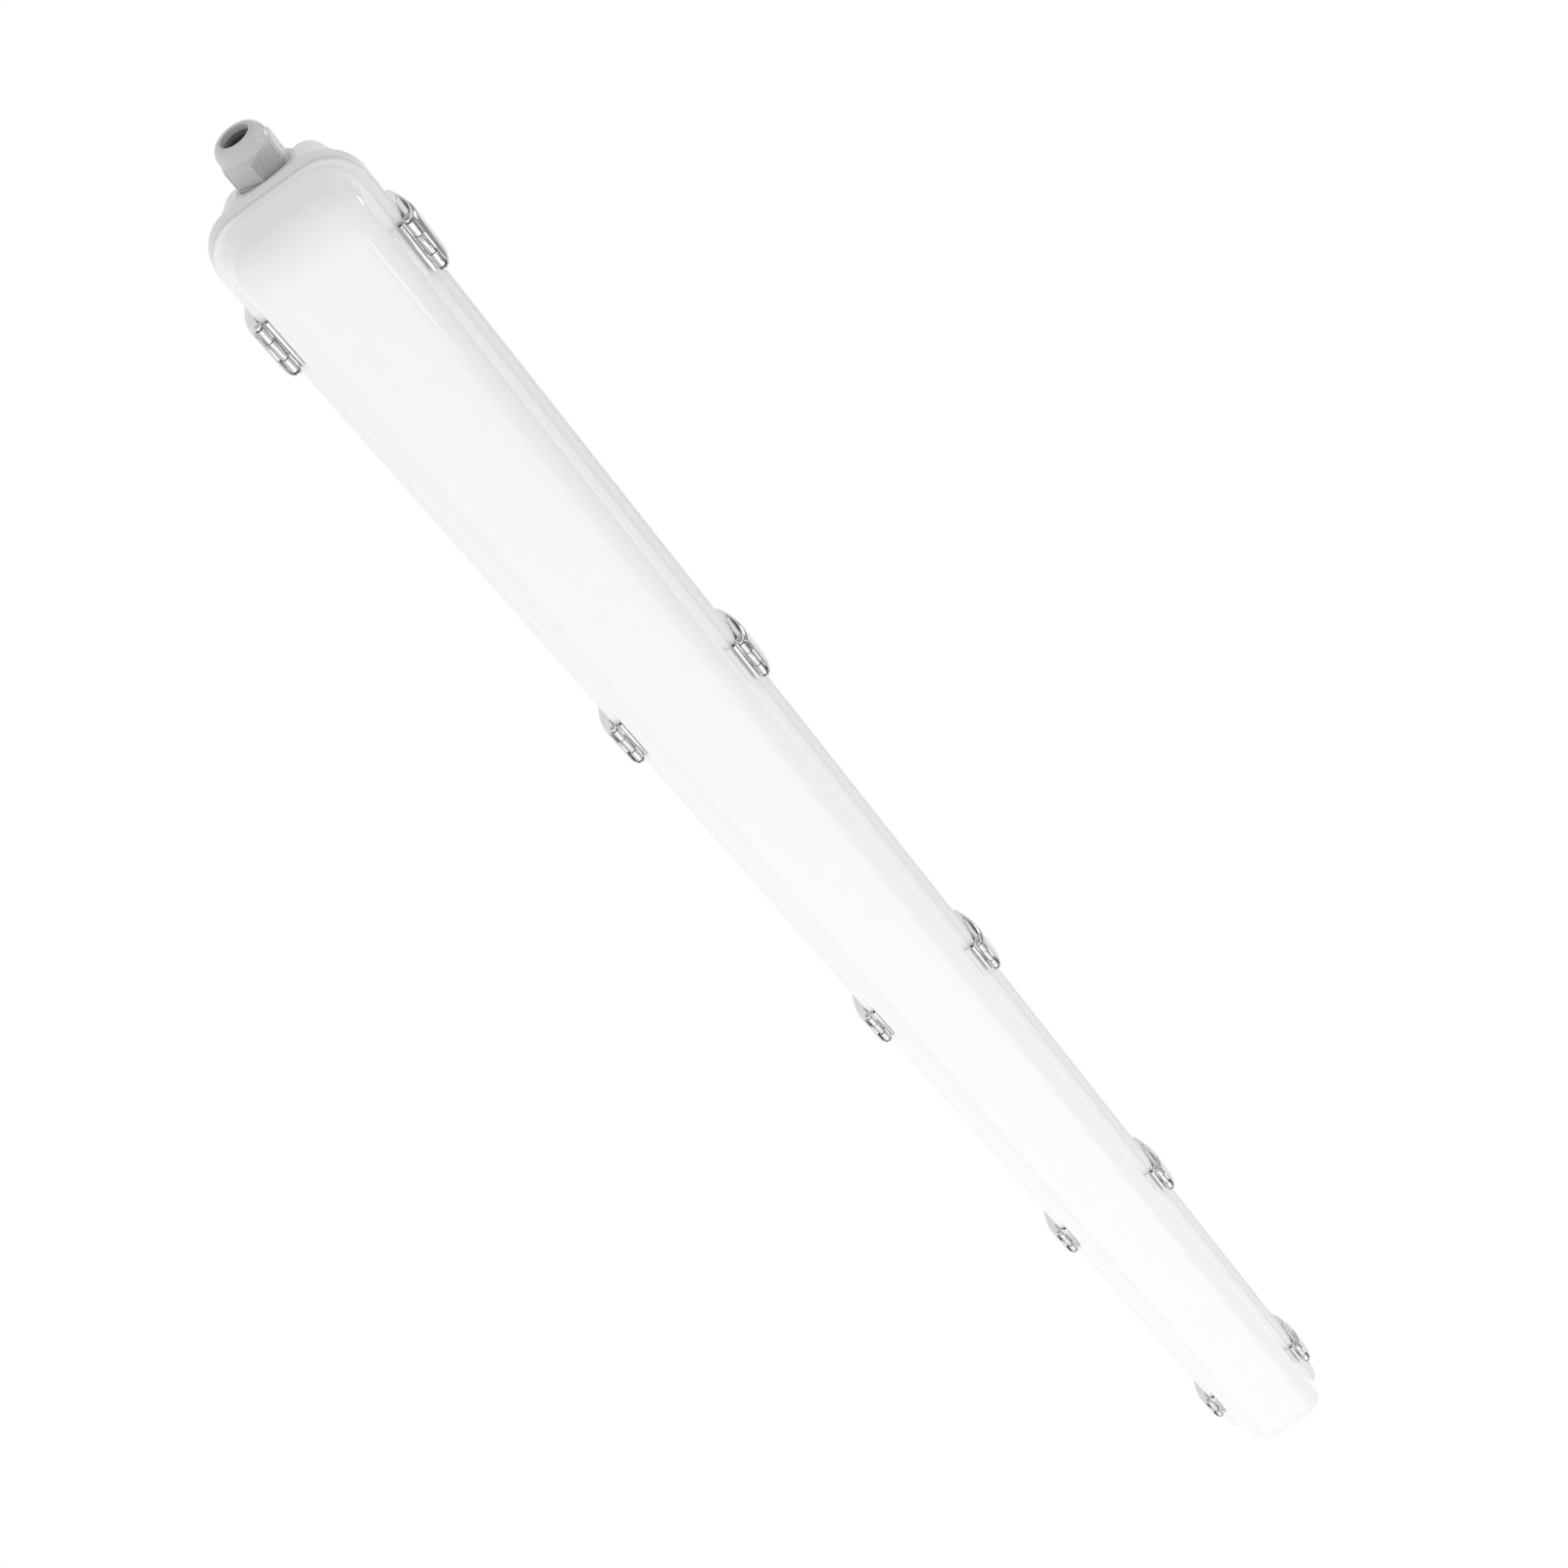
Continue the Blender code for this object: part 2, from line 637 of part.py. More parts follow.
def build_gasket():
    floor = GROOVE_FLOOR_DEPTH + GAP
    front = floor + GASKET_HEIGHT
    outer = GROOVE_OUTER_INSET + GAP
    inner = GROOVE_INNER_INSET - GAP
    rings = (
        rim_ring(outer, floor),
        rim_ring(outer, front),
        rim_ring(inner, front),
        rim_ring(inner, floor),
    )
    object_from("gasket", lofted(rings, closed=True), "gasket_rubber")


def dome_ring(height, wall):
    """The straight, drafted part of the diffuser's dome, this high above the flange."""
    draft = height * math.tan(math.radians(DOME_DRAFT_DEGREES))
    return (
        HALF_LENGTH - CREASE_END_INSET - draft - wall,
        HALF_WIDTH - CREASE_SIDE_INSET - draft - wall,
        CREASE_CORNER_RADIUS - draft - wall,
        FLANGE_FRONT_DEPTH + height,
    )


def dome_rings(wall, steps):
    """The dome's surface from its foot to its crown, moved in by the wall's thickness."""
    rings = [dome_ring(DOME_WALL_HEIGHT, wall)]
    length, width, radius, depth = rings[0]
    crown = FIXTURE_HEIGHT - wall
    rise = crown - CROWN_RISE - depth
    for step in range(1, steps + 1):
        angle = math.radians(90 * step / steps)
        inward = 1 - math.cos(angle)
        rings.append(
            (
                length - (SHOULDER_END_REACH - wall) * inward,
                width - (SHOULDER_SIDE_REACH - wall) * inward,
                radius - (SHOULDER_CORNER_DROP - wall) * inward,
                depth + rise * math.sin(angle),
            )
        )
    length, width, radius, _ = rings[-1]
    inset = width * (1 - CROWN_FLAT_SHARE)
    corner = radius * CROWN_FLAT_SHARE
    rings.append((length - inset, width - inset, corner, crown))
    return [plan_ring(*sizes) for sizes in rings]


def build_diffuser():
    soft = EDGE_FILLET * (1 - math.cos(math.radians(45)))
    tongue_inner = TONGUE_OUTER_INSET + TONGUE_THICKNESS
    tongue_depth = GROOVE_FLOOR_DEPTH + GAP + GASKET_HEIGHT + GAP
    rings = list(reversed(dome_rings(DIFFUSER_WALL, INNER_SHOULDER_STEPS)))
    rings.append(plan_ring(*dome_ring(FLANGE_BACK_DEPTH - FLANGE_FRONT_DEPTH, DIFFUSER_WALL)))
    rings.append(rim_ring(tongue_inner, FLANGE_BACK_DEPTH))
    rings.append(rim_ring(tongue_inner, tongue_depth))
    rings.append(rim_ring(TONGUE_OUTER_INSET, tongue_depth))
    rings.append(rim_ring(TONGUE_OUTER_INSET, FLANGE_BACK_DEPTH))
    rings.append(rim_ring(FLANGE_INSET + EDGE_FILLET, FLANGE_BACK_DEPTH))
    rings.append(rim_ring(FLANGE_INSET + soft, FLANGE_BACK_DEPTH + soft))
    rings.append(rim_ring(FLANGE_INSET, FLANGE_BACK_DEPTH + EDGE_FILLET))
    rings.append(rim_ring(FLANGE_INSET, FLANGE_FRONT_DEPTH - EDGE_FILLET))
    rings.append(rim_ring(FLANGE_INSET + soft, FLANGE_FRONT_DEPTH - soft))
    rings.append(rim_ring(FLANGE_INSET + EDGE_FILLET, FLANGE_FRONT_DEPTH))
    rings.append(plan_ring(*dome_ring(0, 0)))
    rings.extend(dome_rings(0, SHOULDER_STEPS))
    object_from("diffuser", lofted(rings, closed=False), "diffuser_opal")


def driver_screw_places():
    """The two screws that hold the driver, at opposite corners of its face."""
    along = DRIVER_LENGTH / 2 - DRIVER_SCREW_END
    return [
        (DRIVER_X - along, DRIVER_SCREW_OFFSET),
        (DRIVER_X + along, -DRIVER_SCREW_OFFSET),
    ]


def output_lead_x():
    return DRIVER_X + DRIVER_LENGTH / 2 + LEAD_REACH


def build_tray():
    half = TRAY_WIDTH / 2
    inside = half - TRAY_SHEET
    foot = -(TRAY_FACE_DEPTH - TRAY_FLANGE_HEIGHT)
    outline = (
        (-half, -TRAY_FACE_DEPTH),
        (half, -TRAY_FACE_DEPTH),
        (half, foot),
        (inside, foot),
        (inside, -TRAY_BACK_DEPTH),
        (-inside, -TRAY_BACK_DEPTH),
        (-inside, foot),
        (-half, foot),
    )
    sheet = extruded(outline, -TRAY_LENGTH / 2, TRAY_LENGTH / 2)
    tray = object_from("gear_tray", sheet, "tray_white")
    low = -TRAY_FACE_DEPTH - CUT_OVERRUN
    high = -TRAY_BACK_DEPTH + CUT_OVERRUN
    screw_hole = SCREW_SHANK_RADIUS + SCREW_CLEARANCE
    holes = []
    for x, y in post_places() + driver_screw_places():
        holes.append(moved(cylinder(screw_hole, low, high, SMALL_STEPS), x, y, 0))
    for side in (-1, 1):
        hole = cylinder(LEAD_HOLE_RADIUS, low, high, SMALL_STEPS)
        holes.append(moved(hole, output_lead_x(), side * LEAD_SPACING, 0))
    boolean(tray, object_from("tray_holes", gathered(holes)), "DIFFERENCE")


def build_screws():
    """Pan-head screws along Z, seated on the tray's face."""
    seat = -(TRAY_FACE_DEPTH + GAP)
    top = seat - SCREW_HEAD_HEIGHT
    socket = top + SCREW_SOCKET_DEPTH
    profile = (
        (seat + SCREW_LENGTH, 0),
        (seat + SCREW_LENGTH, SCREW_SHANK_RADIUS),
        (seat, SCREW_SHANK_RADIUS),
        (seat, SCREW_HEAD_RADIUS),
        (top + EDGE_FILLET, SCREW_HEAD_RADIUS),
        (top, SCREW_HEAD_RADIUS - EDGE_FILLET),
        (top, SCREW_SOCKET_RADIUS),
        (socket, SCREW_SOCKET_RADIUS),
        (socket, 0),
    )
    bm = bmesh.new()
    verts = [bm.verts.new((radius, 0, z)) for z, radius in profile]
    edges = [bm.edges.new(pair) for pair in zip(verts, verts[1:])]
    bmesh.ops.spin(
        bm,
        geom=verts + edges,
        cent=(0, 0, 0),
        axis=(0, 0, 1),
        angle=math.tau,
        steps=SMALL_STEPS,
        use_merge=True,
    )
    bmesh.ops.remove_doubles(bm, verts=bm.verts, dist=WELD)
    first = object_from("tray_screw_1", bm, "screw_zinc")
    names = [f"tray_screw_{i + 1}" for i in range(len(post_places()))]
    names += [f"driver_screw_{i + 1}" for i in range(len(driver_screw_places()))]
    for name, (x, y) in zip(names, post_places() + driver_screw_places()):
        screw = first if name == first.name else copied(first, name)
        screw.location = (x, y, 0)


def copied(obj, name):
    """Another object that shares this one's mesh."""
    copy = bpy.data.objects.new(name, obj.data)
    bpy.context.scene.collection.objects.link(copy)
    return copy


def build_boards():
    """LED boards with their chips, and the links across the gaps between them."""
    chips = []
    for i in range(CHIP_COUNT):
        x = ((i + 1 / 2) / CHIP_COUNT - 1 / 2) * BOARD_LENGTH
        height = CHIP_HEIGHT + EMBED
        centre = (x, 0, -(BOARD_FACE_DEPTH + (CHIP_HEIGHT - EMBED) / 2))
        chips.append(box(CHIP_LENGTH, CHIP_WIDTH, height, centre))
    middle = (0, 0, -(BOARD_BACK_DEPTH + BOARD_THICKNESS / 2))
    board = object_from(
        "led_board_1", box(BOARD_LENGTH, BOARD_WIDTH, BOARD_THICKNESS, middle), "board_white"
    )
    boolean(board, object_from("led_chips", gathered(chips)), "UNION")
    solidify_modifiers(board, "board_white")

    link_depth = BOARD_FACE_DEPTH + GAP + LINK_HEIGHT / 2
    link_mesh = rounded_box(LINK_LENGTH, LINK_WIDTH, LINK_HEIGHT, (0, 0, -link_depth), GAP)
    link = object_from("led_link_1", link_mesh, "block_plastic")
    pitch = BOARD_LENGTH + BOARD_SPACING
    for i in range(BOARD_COUNT):
        piece = board if i == 0 else copied(board, f"led_board_{i + 1}")
        piece.location.x = (i - (BOARD_COUNT - 1) / 2) * pitch
    for i in range(BOARD_COUNT - 1):
        piece = link if i == 0 else copied(link, f"led_link_{i + 1}")
        piece.location.x = (i - (BOARD_COUNT - 2) / 2) * pitch


def bores_along_x(places, depth, start, end):
    """Round cutters along X at these distances from the middle."""
    cutters = []
    for y in places:
        bm = cylinder(LEAD_HOLE_RADIUS, start, end, SMALL_STEPS)
        turn = Matrix.Rotation(math.radians(90), 3, "Y")
        bmesh.ops.rotate(bm, verts=bm.verts, matrix=turn)
        cutters.append(moved(bm, 0, y, -depth))
    return cutters


def lead_rows():
    return (-LEAD_SPACING, 0, LEAD_SPACING)


def build_driver():
    centre = (DRIVER_X, 0, -DRIVER_MIDDLE_DEPTH)
    body = rounded_box(DRIVER_LENGTH, DRIVER_WIDTH, DRIVER_HEIGHT, centre, DRIVER_EDGE)
    driver = object_from("led_driver", body, "driver_white")
    front = DRIVER_X - DRIVER_LENGTH / 2
    back = DRIVER_X + DRIVER_LENGTH / 2
    depth = LEAD_ENTRY + LEAD_CLEARANCE
    cutters = bores_along_x(lead_rows(), DRIVER_MIDDLE_DEPTH, front - CUT_OVERRUN, front + depth)
    outputs = (-LEAD_SPACING, LEAD_SPACING)
    cutters += bores_along_x(outputs, DRIVER_MIDDLE_DEPTH, back - depth, back + CUT_OVERRUN)
    face = -(TRAY_BACK_DEPTH - GAP)
    for x, y in driver_screw_places():
        bore_radius = SCREW_SHANK_RADIUS + SCREW_CLEARANCE
        bore = cylinder(bore_radius, face - CUT_OVERRUN, face + DRIVER_BORE_DEPTH, SMALL_STEPS)
        cutters.append(moved(bore, x, y, 0))
    boolean(driver, object_from("driver_bores", gathered(cutters)), "DIFFERENCE")


def build_block():
    centre = (BLOCK_X, 0, -BLOCK_MIDDLE_DEPTH)
    body = rounded_box(BLOCK_LENGTH, BLOCK_WIDTH, BLOCK_HEIGHT, centre, BLOCK_EDGE)
    block = object_from("terminal_block", body, "block_plastic")
    front = BLOCK_X - BLOCK_LENGTH / 2
    back = BLOCK_X + BLOCK_LENGTH / 2
    depth = LEAD_ENTRY + LEAD_CLEARANCE
    cutters = bores_along_x(lead_rows(), BLOCK_MIDDLE_DEPTH, front - CUT_OVERRUN, front + depth)
    cutters += bores_along_x(lead_rows(), BLOCK_MIDDLE_DEPTH, back - depth, back + CUT_OVERRUN)
    boolean(block, object_from("block_bores", gathered(cutters)), "DIFFERENCE")


def lead(name, start, leave, end, arrive, material):
    """A round lead on a smooth curve between two ends, each with its own direction."""
    span = LEAD_CURVE_SHARE * math.dist(start, end)
    curve = bpy.data.curves.new(name, "CURVE")
    curve.dimensions = "3D"
    curve.bevel_depth = LEAD_RADIUS
    curve.bevel_resolution = 2
    curve.use_fill_caps = True
    spline = curve.splines.new("POLY")
    spline.points.add(LEAD_POINTS - 1)
    for i, point in enumerate(spline.points):
        t = i / (LEAD_POINTS - 1)
        weights = (
            2 * t**3 - 3 * t**2 + 1,
            (t**3 - 2 * t**2 + t) * span,
            3 * t**2 - 2 * t**3,
            (t**3 - t**2) * span,
        )
        place = [
            sum(weight * axis for weight, axis in zip(weights, parts))
            for parts in zip(start, leave, end, arrive)
        ]
        point.co = (*place, 1)
    obj = bpy.data.objects.new(name, curve)
    bpy.context.scene.collection.objects.link(obj)
    curve.materials.append(look(material))


def build_leads():
    inputs = (("live", "lead_brown"), ("earth", "lead_green"), ("neutral", "lead_blue"))
    block_end = BLOCK_X + BLOCK_LENGTH / 2 - LEAD_ENTRY
    driver_end = DRIVER_X - DRIVER_LENGTH / 2 + LEAD_ENTRY
    for (name, material), y in zip(inputs, lead_rows()):
        start = (block_end, y, -BLOCK_MIDDLE_DEPTH)
        end = (driver_end, y, -DRIVER_MIDDLE_DEPTH)
        lead(f"lead_{name}", start, (1, 0, 0), end, (1, 0, 0), material)
    outputs = (("minus", "lead_black", -1), ("plus", "lead_red", 1))
    for name, material, side in outputs:
        y = side * LEAD_SPACING
        start = (DRIVER_X + DRIVER_LENGTH / 2 - LEAD_ENTRY, y, -DRIVER_MIDDLE_DEPTH)
        end = (output_lead_x(), y, -(BOARD_BACK_DEPTH - 2 * GAP))
        lead(f"lead_{name}", start, (1, 0, 0), end, (0, 0, -1), material)


def around(x, radius_at, steps):
    """A ring about the gland's axis, with a radius for each angle from its first flat."""
    turn = math.radians(GLAND_TURN_DEGREES)
    points = []
    for step in range(steps):
        angle = math.tau * step / steps
        radius = radius_at(angle)
        points.append((x, radius * math.cos(angle + turn), radius * math.sin(angle + turn)))
    return points


def hex_ring(x, flats, cap, steps=GLAND_STEPS):
    """A hexagon's outline, with its corners cut back to the cap's radius."""
    sector = math.radians(60)

    def radius_at(angle):
        from_flat = (angle + sector / 2) % sector - sector / 2
        return min(flats / 2 / math.cos(from_flat), cap)

    return around(x, radius_at, steps)


def round_ring(x, radius, steps=GLAND_STEPS):
    return around(x, lambda angle: radius, steps)


def hex_sides(start, end, flats):
    """Rings of a chamfered hexagon from one end to the other."""
    corner = flats / 2 / math.cos(math.radians(30))
    chamfer = GLAND_CHAMFER if end > start else -GLAND_CHAMFER
    return [
        hex_ring(start, flats, flats / 2),
        hex_ring(start + chamfer, flats, corner),
        hex_ring(end - chamfer, flats, corner),
        hex_ring(end, flats, flats / 2),
    ]


def gland_piece(name, rings, material):
    obj = object_from(name, lofted(rings, closed=True), material)
    obj.location.z = -GLAND_DEPTH
    return obj


def build_gland():
    """The gland's pieces, each turned about the cable's axis and seated on the last."""
    washer_back = GLAND_SEAT_X - GAP
    washer_front = washer_back - GLAND_WASHER_THICKNESS
    washer_bore = GLAND_NECK_RADIUS + GAP
    gland_piece(
        "gland_washer",
        [
            round_ring(washer_back, washer_bore),
            round_ring(washer_back, GLAND_WASHER_RADIUS),
            round_ring(washer_front, GLAND_WASHER_RADIUS),
            round_ring(washer_front, washer_bore),
        ],
        "seal_rubber",
    )

    collar_back = washer_front - GAP
    collar_front = collar_back - GLAND_COLLAR_THICKNESS
    neck_end = collar_back + GLAND_NECK_LENGTH + GLAND_WASHER_THICKNESS
    barrel_front = collar_front - GLAND_BARREL_LENGTH
    rings = [
        round_ring(neck_end, GLAND_BORE_RADIUS),
        round_ring(neck_end, GLAND_NECK_RADIUS - EDGE_FILLET),
        round_ring(neck_end - EDGE_FILLET, GLAND_NECK_RADIUS),
        round_ring(collar_back, GLAND_NECK_RADIUS),
    ]
    rings += hex_sides(collar_back, collar_front, GLAND_COLLAR_FLATS)
    rings += [
        round_ring(collar_front, GLAND_BARREL_RADIUS),
        round_ring(barrel_front + EDGE_FILLET, GLAND_BARREL_RADIUS),
        round_ring(barrel_front, GLAND_BARREL_RADIUS - EDGE_FILLET),
        round_ring(barrel_front, GLAND_BORE_RADIUS),
    ]
    gland_piece("gland_body", rings, "gland_plastic")

    nut_front = GLAND_SEAT_X + GLAND_BOSS_THICKNESS + GAP
    nut_back = nut_front + LOCKNUT_THICKNESS
    rings = [round_ring(nut_front, washer_bore)]
    rings += hex_sides(nut_front, nut_back, GLAND_COLLAR_FLATS)
    rings += [round_ring(nut_back, washer_bore)]
    gland_piece("gland_locknut", rings, "gland_plastic")

    seal_back = barrel_front + SEAL_SLEEVE_LENGTH
    flange_back = barrel_front - GAP
    flange_front = flange_back - SEAL_FLANGE_THICKNESS
    sleeve = GLAND_BORE_RADIUS - GAP
    gland_piece(
        "gland_seal",
        [
            round_ring(seal_back, SEAL_BORE_RADIUS),
            round_ring(seal_back, sleeve),
            round_ring(flange_back, sleeve),
            round_ring(flange_back, SEAL_FLANGE_RADIUS),
            round_ring(flange_front + EDGE_FILLET, SEAL_FLANGE_RADIUS),
            round_ring(flange_front, SEAL_FLANGE_RADIUS - EDGE_FILLET),
            round_ring(flange_front, SEAL_BORE_RADIUS + EDGE_FILLET),
            round_ring(flange_front + EDGE_FILLET, SEAL_BORE_RADIUS),
        ],
        "seal_rubber",
    )
    build_gland_nut(collar_front - GAP, flange_front - GAP)


def build_gland_nut(base, shoulder):
    """The dome nut: a hexagon that runs into a dome, bored for the barrel and the cable."""
    hex_end = base - NUT_HEX_LENGTH
    mouth = hex_end - NUT_DOME_LENGTH
    bore = GLAND_BARREL_RADIUS + GAP
    corner = NUT_FLATS / 2 / math.cos(math.radians(30))
    rings = [
        round_ring(base, bore, NUT_STEPS),
        hex_ring(base, NUT_FLATS, NUT_FLATS / 2, NUT_STEPS),
        hex_ring(base - GLAND_CHAMFER, NUT_FLATS, corner, NUT_STEPS),
        hex_ring(hex_end + GLAND_CHAMFER, NUT_FLATS, corner, NUT_STEPS),
        round_ring(hex_end, NUT_DOME_RADIUS, NUT_STEPS),
    ]
    for step in range(1, NUT_DOME_STEPS + 1):
        angle = math.radians(90 * step / NUT_DOME_STEPS)
        radius = NUT_RIM_RADIUS + (NUT_DOME_RADIUS - NUT_RIM_RADIUS) * math.cos(angle)
        x = hex_end - NUT_DOME_LENGTH * math.sin(angle)
        rings.append(round_ring(x, radius, NUT_STEPS))
    rings += [
        round_ring(mouth, NUT_MOUTH_RADIUS + EDGE_FILLET / 2, NUT_STEPS),
        round_ring(mouth + EDGE_FILLET / 2, NUT_MOUTH_RADIUS, NUT_STEPS),
        round_ring(shoulder, NUT_MOUTH_RADIUS, NUT_STEPS),
        round_ring(shoulder, bore, NUT_STEPS),
    ]
    gland_piece("gland_nut", rings, "gland_plastic")


def arc(radius, start, end, steps):
    """Points about the pin's axis, out and up, from one angle in degrees to another."""
    points = []
    for step in range(steps + 1):
        angle = math.radians(start + (end - start) * step / steps)
        points.append((radius * math.cos(angle), radius * math.sin(angle)))
    return points


def circle(radius, steps):
    return arc(radius, 0, 360 - 360 / steps, steps - 1)


def rounded_section(low_y, high_y, low_z, high_z, radius, steps):
    """A rectangle's outline with round corners."""
    corners = (
        (high_y - radius, high_z - radius, 0),
        (low_y + radius, high_z - radius, 90),
        (low_y + radius, low_z + radius, 180),
        (high_y - radius, low_z + radius, 270),
    )
    points = []
    for y, z, start in corners:
        points += [(y + dy, z + dz) for dy, dz in arc(radius, start, start + 90, steps)]
    return points


def build_clip():
    """The clip plate: a rolled strip, a web, two rolled lugs and a skirt beside the rim."""
    step = GAP / 10
    top = PIVOT_DROP - GAP
    bottom = top - LATCH_SHEET
    strip_in = STRIP_CLEARANCE - PIVOT_OUTSET - CREASE_SIDE_INSET
    strip_out = strip_in + STRIP_WIDTH
    skirt_in = EDGE_CLEARANCE - PIVOT_OUTSET
    skirt_out = skirt_in + LATCH_SHEET
    skirt_end = LUG_RADIUS + SKIRT_LENGTH
    notch_web = -(KNUCKLE_RADIUS + NOTCH_CLEARANCE)

    strip = rounded_section(strip_in, strip_out, top - STRIP_WIDTH, top, STRIP_ROUND, 2)
    half = STRIP_LENGTH / 2
    clip = object_from("clip", extruded(strip, -half, half), "latch_stainless")

    web = (
        (strip_out - STRIP_ROUND, bottom + step),
        (notch_web, bottom + step),
        (notch_web, top - 2 * step),
        (strip_out - STRIP_ROUND, top - 2 * step),
    )
    web_half = half - GAP
    boolean(clip, object_from("clip_web", extruded(web, -web_half, web_half)), "UNION")

    low = math.degrees(math.asin(bottom / LUG_RADIUS))
    high = math.degrees(math.acos(skirt_out / LUG_RADIUS))
    inner_high = math.degrees(math.acos(skirt_in / LUG_RADIUS))
    web_high = 180 - math.degrees(math.asin((top - step) / LUG_RADIUS))
    lug = [(notch_web - EMBED, bottom)]
    lug += arc(LUG_RADIUS, 180 - low, 360 + high, 8)
    lug += [(skirt_out, skirt_end), (skirt_in, skirt_end)]
    lug += arc(LUG_RADIUS, inner_high, web_high, 2)
    lug += [(notch_web - EMBED, top - step)]
    lugs = [
        extruded(lug, LUG_INNER, LUG_OUTER),
        extruded(lug, -LUG_OUTER, -LUG_INNER),
    ]
    boolean(clip, object_from("clip_lugs", gathered(lugs)), "UNION")

    skirt = (
        (skirt_in + step, NOTCH_SKIRT_DROP),
        (skirt_out - step, NOTCH_SKIRT_DROP),
        (skirt_out - step, skirt_end - step),
        (skirt_in + step, skirt_end - step),
    )
    reach = LUG_INNER + EMBED
    boolean(clip, object_from("clip_skirt", extruded(skirt, -reach, reach)), "UNION")

    slot_y = (strip_in + strip_out) / 2
    slot_z = top - STRIP_WIDTH / 2
    slot = rounded_section(
        slot_y - STRIP_SLOT_WIDTH / 2,
        slot_y + STRIP_SLOT_WIDTH / 2,
        slot_z - STRIP_SLOT_HEIGHT / 2,
        slot_z + STRIP_SLOT_HEIGHT / 2,
        STRIP_SLOT_HEIGHT / 3,
        1,
    )
    through = half + CUT_OVERRUN
    boolean(clip, object_from("clip_slot", extruded(slot, -through, through)), "DIFFERENCE")
    bore = extruded(circle(PIN_BORE_RADIUS, PIN_STEPS), -through, through)
    boolean(clip, object_from("clip_bore", bore), "DIFFERENCE")
    solidify_modifiers(clip, "latch_stainless")
    return clip


def lever_outer_line():
    """The lever plate's outer surface, from its top edge to its free end."""
    top = (LUG_RADIUS + LEVER_TOP_CLEARANCE + LATCH_SHEET, -LEVER_TOP_RISE)
    shares = LEVER_PROFILE_SHARES
    return [top] + [(y * LEVER_STANDOFF, z * LEVER_LENGTH) for y, z in shares]


def inset_line(points, distance):
    """A line beside this one, moved towards the fixture by this distance."""
    moved_points = []
    for i, (y, z) in enumerate(points):
        before = points[max(i - 1, 0)]
        after = points[min(i + 1, len(points) - 1)]
        along_y = after[0] - before[0]
        along_z = after[1] - before[1]
        length = math.hypot(along_y, along_z)
        moved_points.append((y - distance * along_z / length, z + distance * along_y / length))
    return moved_points


def build_lever():
    """The lever: a bowed plate with side cheeks, ears on the pin, noses and a middle knuckle."""
    outer = lever_outer_line()
    inner = inset_line(outer, LATCH_SHEET)
    inboard = EDGE_CLEARANCE - PIVOT_OUTSET
    nose_top = PIVOT_DEPTH - LIP_TOP_DEPTH + GAP
    nose_tip = inboard - LEVER_NOSE_REACH - EDGE_CLEARANCE
    nose_low = nose_top + LEVER_NOSE_HEIGHT
    ear_high = math.degrees(math.acos(inboard / LEVER_EAR_RADIUS))
    end_y, end_z = inset_line(outer, LEVER_CHEEK_END)[-1]
    cheek = outer + [(end_y, end_z)]
    low_y, low_z = inset_line(outer, LEVER_CHEEK_DEPTH)[5]
    cheek += [(low_y, low_z), (nose_tip, nose_low), (nose_tip, nose_top), (inboard, nose_top)]
    cheek += arc(LEVER_EAR_RADIUS, ear_high, 290, 6)
    wide = LEVER_WIDTH / 2 + CUT_OVERRUN
    lever = object_from("lever", extruded(cheek, -wide, wide), "latch_stainless")

    past = CUT_OVERRUN * 4
    hollow = [(inner[0][0], inner[0][1] - past)] + inner
    hollow += [(inner[-1][0] - CUT_OVERRUN / 4, inner[-1][1] + CUT_OVERRUN)]
    hollow += [(nose_tip - past, inner[-1][1] + CUT_OVERRUN), (nose_tip - past, inner[0][1] - past)]
    clear = LEVER_WIDTH / 2 - LATCH_SHEET
    channel = object_from("lever_hollow", extruded(hollow, -clear, clear))
    boolean(lever, channel, "DIFFERENCE")

    boolean(lever, object_from("lever_outline", lever_outline()), "INTERSECT")
    knuckle_outline = circle(KNUCKLE_RADIUS, ROLL_STEPS)
    knuckle = extruded(knuckle_outline, -KNUCKLE_HALF_WIDTH, KNUCKLE_HALF_WIDTH)
    boolean(lever, object_from("lever_knuckle", knuckle), "UNION")
    boolean(lever, object_from("lever_tongue", lever_tongue(inner)), "UNION")
    through = LEVER_WIDTH / 2 + CUT_OVERRUN
    bore = extruded(circle(PIN_BORE_RADIUS, PIN_STEPS), -through, through)
    boolean(lever, object_from("lever_bore", bore), "DIFFERENCE")
    solidify_modifiers(lever, "latch_stainless")
    return lever


def lever_outline():
    """The lever's outline as seen from outside, with its corners rounded."""
    half = LEVER_WIDTH / 2
    top = -LEVER_EAR_RADIUS - CUT_OVERRUN
    corner = LEVER_CORNER_RADIUS
    outline = [(half, top), (-half, top)]
    for side, start, end in ((-1, 180, 90), (1, 90, 0)):
        middle = side * (half - corner)
        for y, z in arc(corner, start, end, 3):
            outline.append((middle + y, LEVER_LENGTH + GAP - corner + z))
    bm = extruded([(x, z) for x, z in outline], -LEVER_LENGTH, LEVER_LENGTH)
    bmesh.ops.rotate(bm, verts=bm.verts, matrix=Matrix.Rotation(math.radians(90), 3, "Z"))
    return bm


